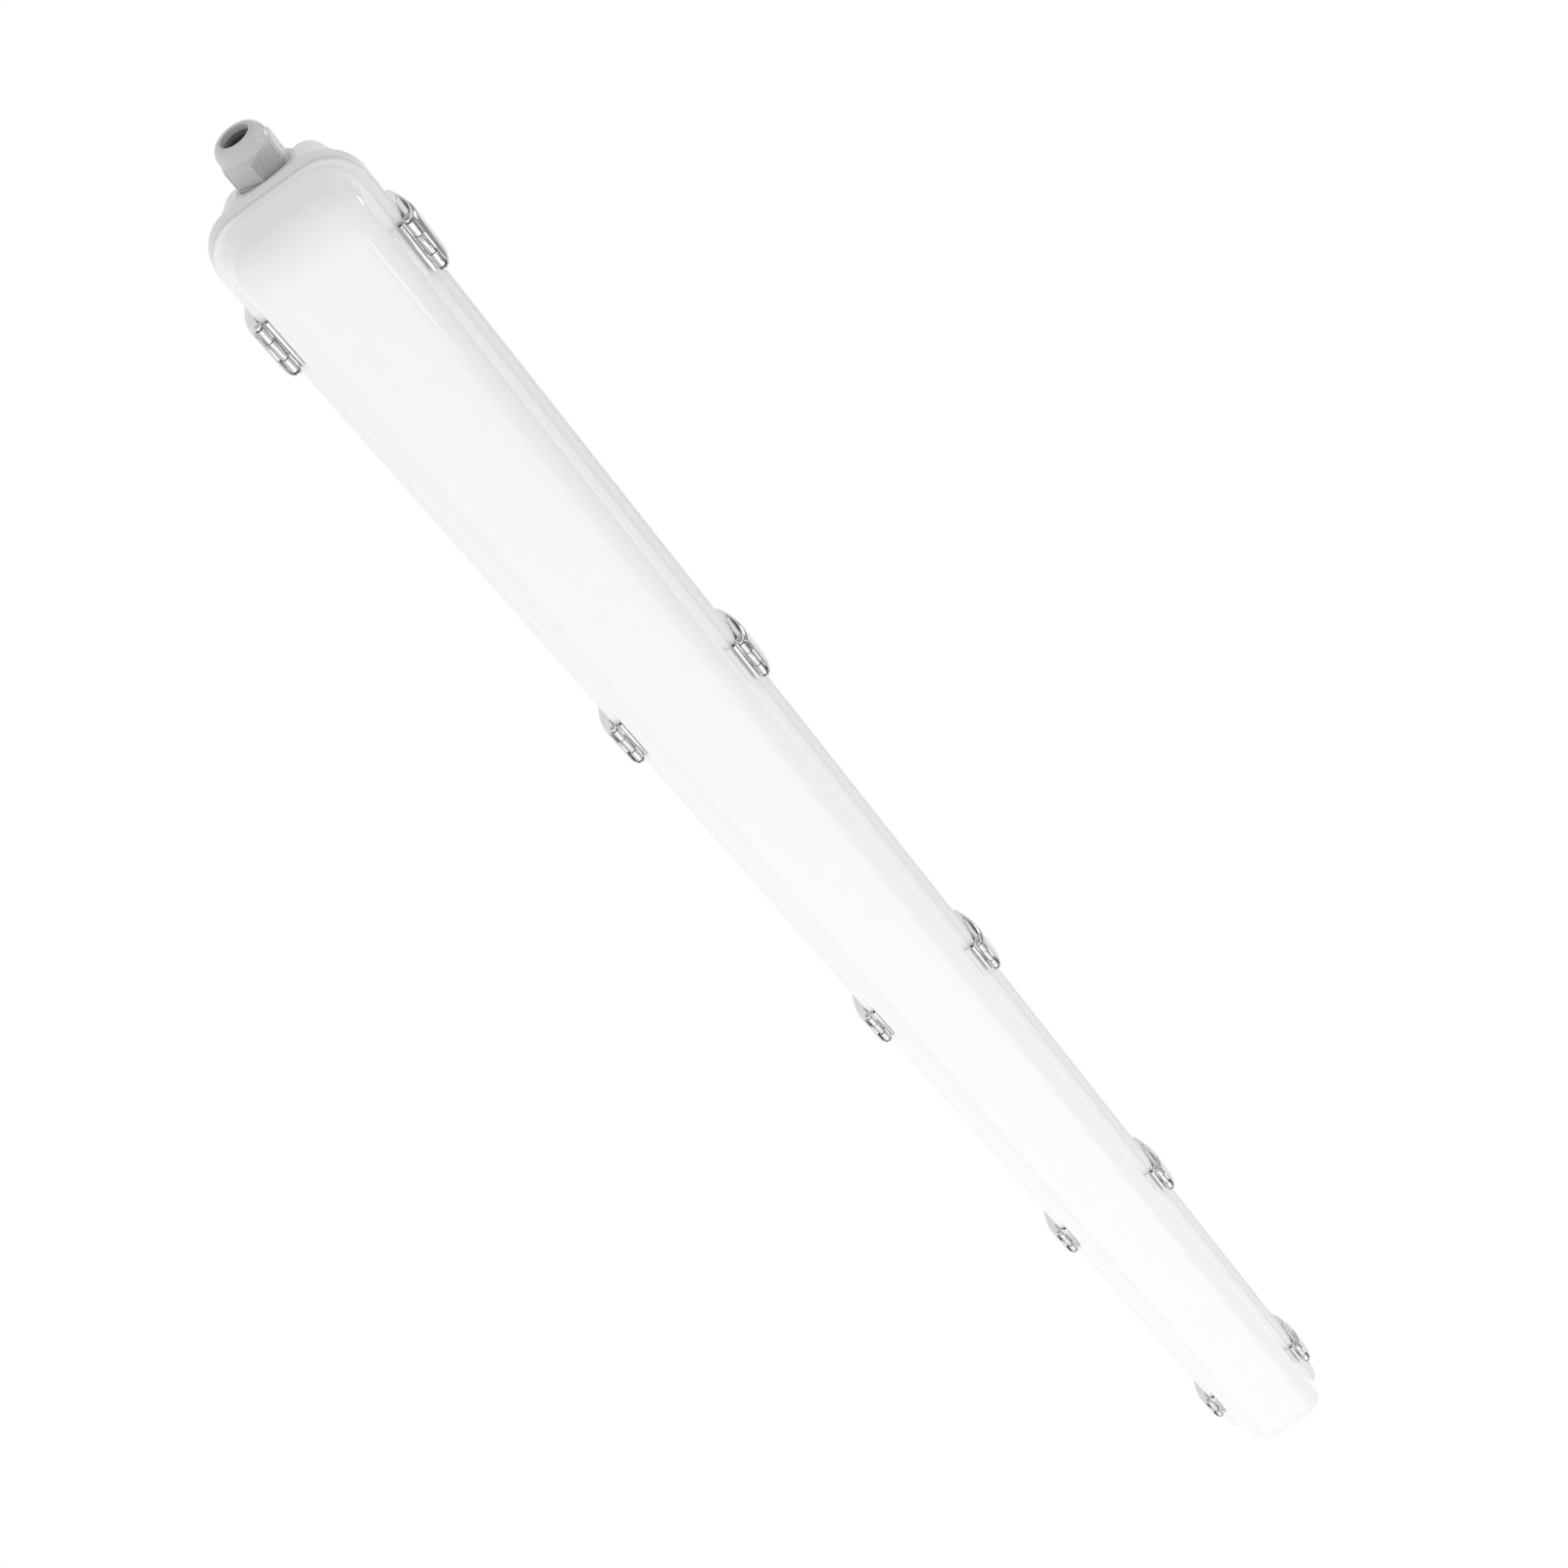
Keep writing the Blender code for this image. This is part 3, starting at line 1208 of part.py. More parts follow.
def lever_tongue(inner):
    """The tapered tongue that joins the middle knuckle to the plate's top edge."""
    start = (PIN_BORE_RADIUS + KNUCKLE_RADIUS) / 2
    reach = inner[0][0] + LATCH_SHEET / 2
    wide = KNUCKLE_HALF_WIDTH - GAP / 10
    bm = bmesh.new()
    places = (
        (wide, start),
        (TONGUE_TOP_HALF_WIDTH, reach),
        (-TONGUE_TOP_HALF_WIDTH, reach),
        (-wide, start),
    )
    face = bm.faces.new([bm.verts.new((x, y, -LEVER_TOP_RISE)) for x, y in places])
    made = bmesh.ops.extrude_face_region(bm, geom=[face])
    upper = [item for item in made["geom"] if isinstance(item, bmesh.types.BMVert)]
    bmesh.ops.translate(bm, verts=upper, vec=(0, 0, LATCH_SHEET))
    return bm


def build_pin():
    length = LEVER_WIDTH / 2 + PIN_PROUD
    return object_from(
        "pin", extruded(circle(PIN_RADIUS, PIN_STEPS), -length, length), "pin_steel"
    )


def build_latches():
    """Ten latches from three shared meshes, each piece with its origin on the hinge axis."""
    makers = {"clip": build_clip(), "lever": build_lever(), "pin": build_pin()}
    for name, x, sign in latch_places():
        for kind, first in makers.items():
            piece = copied(first, f"{name}_{kind}")
            piece.location = (x, sign * PIVOT_Y, -PIVOT_DEPTH)
            piece.rotation_euler.z = 0 if sign > 0 else math.pi
    for first in makers.values():
        bpy.data.objects.remove(first, do_unlink=True)


def main():
    clear_scene()
    build_housing()
    build_gasket()
    build_diffuser()
    build_tray()
    build_screws()
    build_boards()
    build_driver()
    build_block()
    build_leads()
    build_gland()
    build_latches()


main()
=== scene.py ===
"""Vapor tight light fixture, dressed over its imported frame.

Lengths are metres in the fixture's own axes: the ceiling face is at z = 0, the
cable gland is at the -X end, and the diffuser faces down.
"""

import json
from math import acos, asin, atan, cos, degrees, pi, radians, sin, sqrt, tan, tau

import bmesh
import bpy
from bpy.props import FloatProperty, FloatVectorProperty, IntProperty, PointerProperty
from mathutils import Matrix, Vector


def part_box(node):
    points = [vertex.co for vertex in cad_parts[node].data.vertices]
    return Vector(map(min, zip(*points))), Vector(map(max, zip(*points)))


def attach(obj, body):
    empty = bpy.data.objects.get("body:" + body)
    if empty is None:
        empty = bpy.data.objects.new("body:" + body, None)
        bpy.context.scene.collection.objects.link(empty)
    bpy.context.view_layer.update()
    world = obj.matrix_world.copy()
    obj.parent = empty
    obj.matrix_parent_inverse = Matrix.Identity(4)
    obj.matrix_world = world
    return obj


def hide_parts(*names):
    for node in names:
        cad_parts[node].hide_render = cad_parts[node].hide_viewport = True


bl_info = {
    "name": "Vapor tight light fixture",
    "version": (1, 0, 0),
    "blender": (4, 5, 0),
    "location": "View3D > Sidebar > Fixture",
    "description": "Builds a sealed linear light with its latches, gland and studio",
    "category": "Object",
}

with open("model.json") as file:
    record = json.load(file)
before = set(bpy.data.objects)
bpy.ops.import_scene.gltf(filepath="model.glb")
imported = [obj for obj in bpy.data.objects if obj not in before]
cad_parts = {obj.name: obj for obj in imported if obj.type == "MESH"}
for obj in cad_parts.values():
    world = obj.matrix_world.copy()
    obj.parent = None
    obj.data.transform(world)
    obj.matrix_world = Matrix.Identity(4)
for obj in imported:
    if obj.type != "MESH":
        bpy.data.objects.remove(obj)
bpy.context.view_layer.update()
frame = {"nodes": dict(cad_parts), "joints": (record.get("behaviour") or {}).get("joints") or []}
JOINTS = {joint["name"]: joint for joint in frame["joints"]}

# Moulded edge, overlap of joined shapes, usual gap, overshoot of cuts, and merge distance
EDGE = 0.0005
EMBED = 0.0008
GAP = 0.0003
CLEAR = 0.002
WELD = 0.00001

# Rim, lip and housing
HALF_LENGTH = 0.750
HALF_WIDTH = 0.0439
RIM_RADIUS = 0.0235
LIP_TOP = 0.0512
RIM_FRONT = 0.0587
LIP_OVERHANG = 0.0024
BACK_SIDE_INSET = 0.0153
BACK_END_INSET = 0.0186
BACK_RADIUS = 0.0092
BACK_FILLET = 0.0047
WALL = 0.0026
FLOOR = 0.0025
FLOOR_FILLET = 0.0035
RIDGE_INSET = 0.0065
RIDGE_HEIGHT = 0.0135
GROOVE_INSETS = (0.0015, 0.0043)
GROOVE_DEPTH = 0.0050
GUSSET_HEIGHT = 0.0072
GUSSET_WIDTH = 0.0015
POST_ENDS = (-0.0547, EMBED - FLOOR)
POST_RADII = (0.0040, 0.0055)
POST_BORE = 0.0022
POST_BORE_ENDS = (-0.0567, -0.0452)
DIMPLE_X = 0.40005
DIMPLE_RADIUS = 0.0045
KNOCKOUT_RADII = (0.0110, 0.0100)
MARK_DEPTH = 0.0010
END_SLOPE = (BACK_END_INSET - LIP_OVERHANG) / LIP_TOP

# Diffuser
FLANGE_BACK = RIM_FRONT + 0.00015
FLANGE_FRONT = RIM_FRONT + GAP + 0.0030
FLANGE_INSET = 0.0006
TONGUE_INSETS = (0.0022, 0.0036)
TONGUE_DEPTH = RIM_FRONT - GROOVE_DEPTH + 2 * GAP + 0.0027
DIFFUSER_WALL = 0.0020
CREASE_SIDE = 0.0055
CREASE_END = 0.0029
CREASE_RADIUS = 0.0210
CREASE_FILLET = 0.0012
DOME_WALL = 0.0160
DOME_DRAFT = tan(radians(8))
CROWN = 0.0960
CROWN_RISE = 0.0006
CROWN_SHARES = (0.25, 0.17, 0.10)
SHOULDER_REACHES = (0.0373, 0.0240, 0.0147)
SHOULDER_POWER = 2.6

# Gland, along its own axis
COS_30 = cos(radians(30))
AXIS_Z = -0.0186
GLAND_TURN = radians(3)
SEAT_X = -0.7362
POCKET_RADIUS = 0.0170
BOSS_WALL = 0.0014
BOSS_REACH = 0.0065
BOSS_BACK = SEAT_X + 0.0035
BOSS_END = BOSS_BACK + 0.0050 + 2 * GAP
HEX_CHAMFER = 0.0004
CHAMFER_CUT = 0.0002
NECK_END = -0.7263
NECK_RADIUS = 0.0123
NECK_CLEARANCE = 0.0004
BODY_BORE = 0.0087
BODY_FLATS = 0.0270
THREAD_RADIUS = 0.0115
THREAD_DEPTH = 0.0005
THREAD_PITCH = 0.0015
THREAD_ROOTS = (0.00055, 0.00085)
THREAD_START = 0.0012
THREAD_CHAMFER = 0.0008
COLLAR_BACK = -0.7380
COLLAR_SEAT = -0.7364
COLLAR_FRONT = -0.7419
COLLAR_FLATS = 0.0284
BARREL_FRONT = -0.7560
WASHER_FACES = (-0.7365, -0.7377)
WASHER_RADII = (0.0127, 0.0137)
WASHER_EDGE = 0.0001
LOCKNUT_EDGE = 0.0002
NUT_BASE = -0.7422
NUT_SHOULDER = -0.7588
NUT_HEX_END = NUT_BASE - 0.0118
NUT_DOME = 0.0082
NUT_FLATS = 0.0286
NUT_BORE = 0.0118
CONE_START = 0.0016
CONE_LENGTH = 0.0018
CONE_RADIUS = 0.0141
DOME_START = 0.0006
DOME_CENTRE = 0.0095
DOME_ROUND = 0.0050
MOUTH_RADIUS = 0.00825
MOUTH_EDGE = 0.0004
GRIP_SPAN = 0.92
GRIP_STARTS = (0.0006, 0.0008)
GRIP_PLACES = (0.0, 0.15, 0.21, 0.79, 0.85)
SEAL_STEPS = 72
SEAL_ROWS = (
    (-0.0090, 0.0066),
    (-0.0090, 0.0084),
    (GAP, 0.0084),
    (GAP, 0.0108),
    (0.0017, 0.0108),
    (0.0022, 0.0106),
    (0.0025, 0.0100),
    (0.0025, 0.0081),
    (0.0030, 0.0080),
    (0.0031, 0.0077),
    (0.0029, 0.0074),
    (0.0020, 0.0072),
    (0.0016, 0.0066),
)

# Latches
LATCH_XS = [-0.682 + 0.341 * i for i in range(5)]
LEVER_WIDTH = 0.0334
SHEET = 0.0010
PIN_RADIUS = 0.0010
PIN_BORE = 0.0013
PIN_END = 0.0002
CUT_REACH = 0.02
KEEP_REACH = 0.03
FLANGE_DROP = 0.0020
SKIRT_IN = -0.00075
SKIRT_LENGTH = 0.0091
SKIRT_START = 0.0030
STRIP_IN = -0.0061
STRIP_WIDTH = 0.0026
STRIP_ROUND = 0.0009
STRIP_LENGTH = 0.0302
SLOT_SIZES = (0.0009, 0.0008, 0.0006)
LUG_RADIUS = 0.0024
LUG_INNER = 0.0063
LUG_OUTER = 0.0144
KNUCKLE_RADIUS = 0.0023
KNUCKLE_HALF = 0.0057
EAR_RADIUS = 0.0026
LEVER_LENGTH = 0.0375
LEVER_STANDOFF = 0.00575
LEVER_CORNER = 0.0050
NOSE_REACH = 0.00215
NOSE_HEIGHT = 0.0025
CHEEK_DEPTH = 0.0036
CHEEK_END = 0.0012
TONGUE_HALF = 0.0047
TONGUE_START = 0.0004
ROLL = 0.0022
ROLL_REACHES = (0.0052, 0.0044)
ROLL_FADE = 0.6
LEVER_SHARES = (
    (0.92, 0.107),
    (1.00, 0.227),
    (0.974, 0.347),
    (0.817, 0.480),
    (0.504, 0.653),
    (0.087, 0.827),
    (-0.470, 1.000),
)

# What the board's chips stand out from, the strength of the dome's painted glow, and how strongly
# the dome shines
BOARD_FACE = -0.05825
OPAL_PAINTED_GLOW = 0.17
OPAL_SHINE = 0.3

# The camera of the photograph: place, right, up and forward
CAMERA_PLACE = (-1.2877, -0.1492, -1.1407)
CAMERA_RIGHT = (0.458055, -0.821236, -0.340230)
CAMERA_UP = (-0.555477, -0.563251, 0.611714)
CAMERA_FORWARD = (0.693997, 0.091208, 0.714178)
CAMERA_LENS = 56.55

# Lamps, and cards by shade and glow: name, size, place, and the point that each faces
LAMPS = (
    ("below", (2.4, 1.6), (0.2, 0.1, -2.1), (0, 0, -0.08)),
    ("above", (2.4, 1.6), (0.2, 0.3, 2.2), (0, 0, 0)),
    ("left", (3.8, 1.2), (0.2, 1.5, -1.6), (0.2, 0, -0.06)),
    ("right", (2.4, 1.6), (0.2, -2.2, -0.4), (0, 0, -0.06)),
)
NEAR_END = (-0.72, -0.03, -0.08)
SPARKS = (
    ("spark_high", (0.34, 0.62), (-0.146, -1.597, 1.309), NEAR_END),
    ("spark_low", (0.20, 0.20), (0.24, -1.38, -1.20), NEAR_END),
    ("spark_side", (0.16, 0.30), (-0.60, -1.90, -0.30), NEAR_END),
)
CARDS = (
    ("grey", 0.48, 0, [("card_beside", (3.0, 9.0), (0.5, -2.6, 2.2), (0.5, 0, 2.2))]),
    ("dark", 0.08, 0, [("card_behind", (0.56, 0.5), (-1.4, -0.11, 1.2), (0, -0.11, 1.2))]),
    ("white", 0.02, 1.45, [("card_below", (6.4, 3.4), (2.6, 0.1, -2.2), (2.6, 0.1, 0))]),
    ("bright", 0.02, 6.0, SPARKS),
)


# Settings that a user may change


def length(name, text, default, high=0.05):
    limits = {"min": 0, "max": high, "precision": 5}
    return FloatProperty(
        name=name, description=text, default=default, unit="LENGTH", subtype="DISTANCE", **limits
    )


def colour(name, text, default):
    return FloatVectorProperty(
        name=name, description=text, default=default, size=3, min=0, max=1, subtype="COLOR"
    )


def count(name, text, default, low):
    return IntProperty(name=name, description=text, default=default, min=low)


def strength(name, text, default):
    return FloatProperty(name=name, description=text, default=default)


class FixtureSizes(bpy.types.PropertyGroup):
    corner_steps: count("Corner steps", "Faces round each moulded corner", 16, 4)
    shoulder_steps: count("Shoulder steps", "Faces over the diffuser's shoulder", 20, 4)
    edge_softness: length("Edge softness", "Rounding of moulded edges", 0.00025)
    sheet_softness: length("Sheet edge", "Rounding of the steel sheet's cut edges", 0.00014)
    rib_count: count("Grip ribs", "Ribs on each gripped flat of the nut", 11, 2)
    rib_depth: length("Rib depth", "Depth of the grooves between grip ribs", 0.00075)


class FixtureColours(bpy.types.PropertyGroup):
    housing: colour("Housing", "Moulded back shell", (0.93, 0.93, 0.935))
    diffuser: colour("Diffuser", "Opal cover", (0.78, 0.78, 0.785))
    flange: colour("Flange", "Thick edge of the opal cover", (0.92, 0.92, 0.925))
    gland: colour("Gland", "Gland's nut and body", (0.71, 0.715, 0.72))
    steel: colour("Stainless steel", "Latch plates", (0.72, 0.72, 0.73))
    pin: colour("Pin steel", "Hinge pins", (0.55, 0.55, 0.56))
    rubber: colour("Rubber", "Gland seal and washer", (0.13, 0.13, 0.133))
    gasket: colour("Gasket", "Foamed strip in the rim", (0.07, 0.07, 0.07))
    tray: colour("Tray paint", "Powder coat of the gear tray", (0.88, 0.88, 0.89))
    board: colour("Board", "White solder mask", (0.90, 0.90, 0.88))
    phosphor: colour("Light chips", "Yellow coat of the light chips", (0.85, 0.68, 0.16))
    driver: colour("Driver case", "Plastic case of the driver", (0.82, 0.82, 0.82))
    block: colour("Terminal block", "Natural plastic", (0.76, 0.76, 0.74))
    zinc: colour("Zinc", "Plated screws", (0.62, 0.62, 0.64))
    floor: colour("Floor", "Studio floor", (0.90, 0.90, 0.90))


class StageLevels(bpy.types.PropertyGroup):
    floor_depth: length("Floor depth", "How far the floor lies below the ceiling face", 2.9, 9.0)
    around: strength("Light around", "Level of the even light from all sides", 0.61)
    below: strength("Light below", "Power of the soft lamp under the diffuser", 10.5)
    above: strength("Light above", "Power of the soft lamp over the back", 12.0)
    left: strength("Light left", "Power of the soft lamp beside the +Y wall", 15.0)
    right: strength("Light right", "Power of the soft lamp beside the -Y wall", 10.0)


# Tools


def deselect_all():
    if bpy.context.object and bpy.context.object.mode != "OBJECT":
        bpy.ops.object.mode_set(mode="OBJECT")
    bpy.ops.object.select_all(action="DESELECT")


def pick(*objects):
    """Selects these objects alone, and makes the first one active."""
    deselect_all()
    for obj in objects:
        obj.select_set(True)
    bpy.context.view_layer.objects.active = objects[0]


def edit_all(obj):
    """Opens one object in edit mode, with all of it selected."""
    pick(obj)
    bpy.ops.object.mode_set(mode="EDIT")
    bpy.ops.mesh.select_all(action="SELECT")


def combine(target, other, operation="UNION"):
    """Cuts or joins another object, which is used up."""
    modifier = target.modifiers.new(operation, "BOOLEAN")
    modifier.operation = operation
    modifier.solver = "EXACT"
    modifier.object = other
    pick(target)
    bpy.ops.object.modifier_apply(modifier=modifier.name)
    bpy.data.objects.remove(other)


def join(objects):
    """Several loose shapes as one object, such as the ribs that one cut takes at once."""
    pick(*objects)
    bpy.ops.object.join()
    return objects[0]


def start_ring(name, ring):
    """A new mesh in edit mode that is one ring of edges. Each corner keeps its number."""
    deselect_all()
    bpy.ops.mesh.primitive_circle_add(vertices=len(ring), enter_editmode=True)
    obj = bpy.context.object
    obj.name = obj.data.name = name
    mesh = bmesh.from_edit_mesh(obj.data)
    number = mesh.verts.layers.int.new("number")
    for i, vert in enumerate(mesh.verts):
        vert[number] = i
        vert.co = ring[i]
    bmesh.update_edit_mesh(obj.data)
    return obj


def extrude_to(obj, ring):
    """Extrudes the selected ring, and puts its corners where the next ring has them."""
    bpy.ops.mesh.extrude_edges_indiv()
    mesh = bmesh.from_edit_mesh(obj.data)
    number = mesh.verts.layers.int["number"]
    for vert in mesh.verts:
        if vert.select:
            vert.co = ring[vert[number]]
    bmesh.update_edit_mesh(obj.data)


def loft(name, rings, closed=False):
    """A skin over rings that have the same number of corners, capped or closed on itself."""
    obj = start_ring(name, rings[0])
    if not closed:
        bpy.ops.mesh.edge_face_add()
        mesh = bmesh.from_edit_mesh(obj.data)
        for face in mesh.faces:
            face.select = False
        for edge in mesh.edges:
            edge.select = True
        bmesh.update_edit_mesh(obj.data)
    for ring in rings[1:]:
        extrude_to(obj, ring)
    if closed:
        extrude_to(obj, rings[0])
    else:
        bpy.ops.mesh.edge_face_add()
    bpy.ops.mesh.select_all(action="SELECT")
    bpy.ops.mesh.remove_doubles(threshold=WELD)
    bpy.ops.mesh.normals_make_consistent()
    bpy.ops.object.mode_set(mode="OBJECT")
    obj.data.attributes.remove(obj.data.attributes["number"])
    return obj


def soften(obj, width, angle=38):
    """Small rounded edges, then smooth shading with the flat faces kept flat."""
    pick(obj)
    if width:
        bevel = obj.modifiers.new("Soft edges", "BEVEL")
        bevel.width = width
        bevel.segments = 2
        bevel.limit_method = "ANGLE"
        bevel.angle_limit = radians(angle)
        bevel.harden_normals = True
        bpy.ops.object.modifier_apply(modifier=bevel.name)
    bpy.ops.object.shade_smooth_by_angle(angle=radians(angle))


def rod(radius, start, end, steps, axis="X", place=(0, 0, 0), top=None):
    """A plain round stock along an axis, to be cut or joined."""
    deselect_all()
    along = (1, 0, 0) if axis == "X" else (0, 0, 1)
    bpy.ops.mesh.primitive_cone_add(
        vertices=steps,
        radius1=radius,
        radius2=top or radius,
        depth=end - start,
        location=Vector(place) + Vector(along) * (start + end) / 2,
        rotation=(0, pi / 2 if axis == "X" else 0, 0),
    )
    bpy.ops.object.transform_apply()
    return bpy.context.object


def add_object(name, data):
    obj = bpy.data.objects.new(name, data)
    bpy.context.scene.collection.objects.link(obj)
    return obj


def twin(node, name):
    """A merged copy of a frame node's mesh, to be finished in its place."""
    obj = add_object(name, frame["nodes"][node].data.copy())
    edit_all(obj)
    bpy.ops.mesh.remove_doubles(threshold=WELD)
    bpy.ops.mesh.dissolve_limited(angle_limit=radians(0.4))
    bpy.ops.object.mode_set(mode="OBJECT")
    bpy.ops.mesh.customdata_custom_splitnormals_clear()
    return obj


def put_on(obj, finish, slot, node, body="fixture"):
    """Completes a piece: gives it its material, hangs it on the body it rides on, and hides the
    frame node it stands for.
    """
    obj.data.name = obj.name
    obj.data.materials.clear()
    obj.data.materials.append(finish.material)
    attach(obj, body)
    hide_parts(node)


# Materials


def feed(tree, socket, value):
    """Gives a node's input another node's output, a number, or a colour."""
    if isinstance(value, bpy.types.NodeSocket):
        tree.links.new(value, socket)
    elif isinstance(value, (int, float)):
        socket.default_value = value
    else:
        socket.default_value = (*value, 1)


def new_group(name, inputs, outputs):
    """An empty shader node group, with what it is given and what it has to make."""
    group = bpy.data.node_groups.new(name, "ShaderNodeTree")
    add = group.interface.new_socket
    add(name="Vector", in_out="INPUT", socket_type="NodeSocketVector")
    for title, value in inputs.items():
        add(name=title, in_out="INPUT", socket_type="NodeSocketFloat").default_value = value
    for title in outputs:
        add(name=title, in_out="OUTPUT", socket_type="NodeSocketFloat")
    made = group.nodes.new("NodeGroupOutput").inputs
    return group, add_node(group, "NodeGroupInput"), made


def maths(tree, operation, *values):
    """A Math node. Each operand is a socket or a number."""
    node = tree.nodes.new("ShaderNodeMath")
    node.operation = operation
    for socket, value in zip(node.inputs, values):
        feed(tree, socket, value)
    return node.outputs[0]


def add_node(tree, kind, **values):
    """A shader node with its named inputs fed. Gives back its outputs."""
    node = tree.nodes.new(kind)
    for title, value in values.items():
        feed(tree, node.inputs[title], value)
    return node.outputs


def noise(tree, vector, scale, detail, roughness=0.5):
    values = {"Vector": vector, "Scale": scale, "Detail": detail, "Roughness": roughness}
    return add_node(tree, "ShaderNodeTexNoise", **values)["Fac"]


def moulded_grain(title):
    """Fine pores and a slow drift in gloss, as on moulded plastic and paint."""
    inputs = {"Grain Scale": 2600, "Drift Scale": 40}
    group, given, made = new_group(title, inputs, ("Height", "Drift"))
    fine = noise(group, given["Vector"], given["Grain Scale"], 2)
    wide = maths(group, "MULTIPLY", given["Grain Scale"], 0.21)
    broad = noise(group, given["Vector"], wide, 3)
    height = maths(group, "MULTIPLY_ADD", broad, 0.6, maths(group, "MULTIPLY", fine, 0.4))
    feed(group, made["Height"], height)
    feed(group, made["Drift"], noise(group, given["Vector"], given["Drift Scale"], 4, 0.6))
    return group


def handling_marks(title):
    """Patches of dust and rub marks: a mask that is mostly clear."""
    group, given, made = new_group(title, {"Scale": 90, "Cover": 0.35}, ("Mask",))
    patches = noise(group, given["Vector"], given["Scale"], 6, 0.62)
    above = maths(group, "SUBTRACT", patches, maths(group, "SUBTRACT", 0.78, given["Cover"]))
    mask = add_node(group, "ShaderNodeClamp", Value=maths(group, "MULTIPLY", above, 3.2))
    feed(group, made["Mask"], mask[0])
    return group


def drawn_lines(title):
    """Hair lines along X, as rolling and polishing leave on sheet and wire."""
    inputs = {"Fineness": 4200, "Stretch": 0.02}
    group, given, made = new_group(title, inputs, ("Height", "Mask"))
    x, y, z = add_node(group, "ShaderNodeSeparateXYZ", Vector=given["Vector"])
    along = maths(group, "MULTIPLY", x, given["Stretch"])
    merged = add_node(group, "ShaderNodeCombineXYZ", X=along, Y=y, Z=z)
    lines = noise(group, merged[0], given["Fineness"], 3, 0.65)
    slow = noise(group, given["Vector"], 160, 3)
    feed(group, made["Height"], lines)
    feed(group, made["Mask"], maths(group, "MULTIPLY", lines, slow))
    return group


def place_group(tree, make, vector, **values):
    """Places a shared node group, which is made once, under its function's name."""
    node = tree.nodes.new("ShaderNodeGroup")
    title = make.__name__.replace("_", " ").capitalize()
    node.node_tree = bpy.data.node_groups.get(title) or make(title)
    feed(tree, node.inputs["Vector"], vector)
    for name, value in values.items():
        node.inputs[name.replace("_", " ")].default_value = value
    return node.outputs


def mixed(tree, amount, first, second):
    """A colour between two, by a mask. Each is a socket or three numbers."""
    node = tree.nodes.new("ShaderNodeMix")
    node.data_type = "RGBA"
    for title, value in (("Factor", amount), ("A", first), ("B", second)):
        feed(tree, node.inputs[title], value)
    return node.outputs["Result"]


def scaled(value, factor):
    return tuple(min(1.0, part * factor) for part in value)


class Finish:
    """A Principled material with its coordinates, ready for masks and bumps."""

    def __init__(self, name, roughness, metallic=0.0):
        self.material = bpy.data.materials.new(name)
        self.material.use_nodes = True
        self.tree = self.material.node_tree
        self.shader = self.tree.nodes["Principled BSDF"]
        self.set("Metallic", metallic)
        self.roughness = roughness
        self.place = add_node(self.tree, "ShaderNodeTexCoord")["Object"]

    def set(self, title, value):
        """Gives the shader's input a socket, a number or a colour."""
        feed(self.tree, self.shader.inputs[title], value)

    def overpaint(self, value, test, limit, shade):
        """Another colour where a value passes a test. Gives back the test's mask."""
        mask = maths(self.tree, test, value, limit)
        painted = self.shader.inputs["Base Color"].links[0].from_socket
        self.set("Base Color", mixed(self.tree, mask, painted, shade))
        return mask

    def set_roughness(self, mask, spread):
        """Roughness that goes up with a mask, round the finish's own value."""
        low = self.roughness - spread / 2
        self.set("Roughness", maths(self.tree, "MULTIPLY_ADD", mask, spread, low))

    def bump(self, height, depth):
        values = {"Distance": depth, "Strength": 1.0, "Height": height}
        self.set("Normal", add_node(self.tree, "ShaderNodeBump", **values)["Normal"])

    def glow(self, strength, shade=(1, 1, 1)):
        self.set("Emission Color", shade)
        self.set("Emission Strength", strength)

    def height(self):
        """The height of a point, in the object's own coordinates."""
        return add_node(self.tree, "ShaderNodeSeparateXYZ", Vector=self.place)["Z"]


def plastic(name, base, roughness, grain=2600, depth=0.000006, marks=0.30, drift=0.10, stain=0.97):
    """Moulded plastic, paint or rubber: grain, a drift in gloss and faint marks."""
    finish = Finish(name, roughness)
    tree, place = finish.tree, finish.place
    grains = place_group(tree, moulded_grain, place, Grain_Scale=grain)
    mask = place_group(tree, handling_marks, place, Cover=marks)["Mask"]
    shade = mixed(tree, grains["Drift"], scaled(base, 0.992), scaled(base, 1.006))
    finish.set("Base Color", mixed(tree, mask, shade, scaled(base, stain)))
    finish.set_roughness(maths(tree, "MULTIPLY_ADD", mask, 0.5, grains["Drift"]), drift)
    finish.bump(grains["Height"], depth)
    return finish


def metal(name, base, roughness, fineness=4200, depth=0.000003, stretch=0.02, spread=0.12):
    """Polished or drawn metal: hair lines and faint rubbed patches."""
    finish = Finish(name, roughness, 1.0)
    tree, place = finish.tree, finish.place
    lines = place_group(tree, drawn_lines, place, Fineness=fineness, Stretch=stretch)
    mask = place_group(tree, handling_marks, place, Scale=260, Cover=0.34)["Mask"]
    shade = mixed(tree, lines["Mask"], scaled(base, 0.93), scaled(base, 1.04))
    finish.set("Base Color", mixed(tree, mask, shade, scaled(base, 0.90)))
    finish.set_roughness(maths(tree, "MULTIPLY_ADD", mask, 0.6, lines["Height"]), spread)
    finish.bump(lines["Height"], depth)
    return finish


def board_finish(colours):
    """White board with yellow chips, told apart by their height."""
    finish = plastic("White board", colours.board, 0.42, grain=1800, depth=0.000004)
    finish.overpaint(finish.height(), "LESS_THAN", BOARD_FACE, colours.phosphor)
    return finish


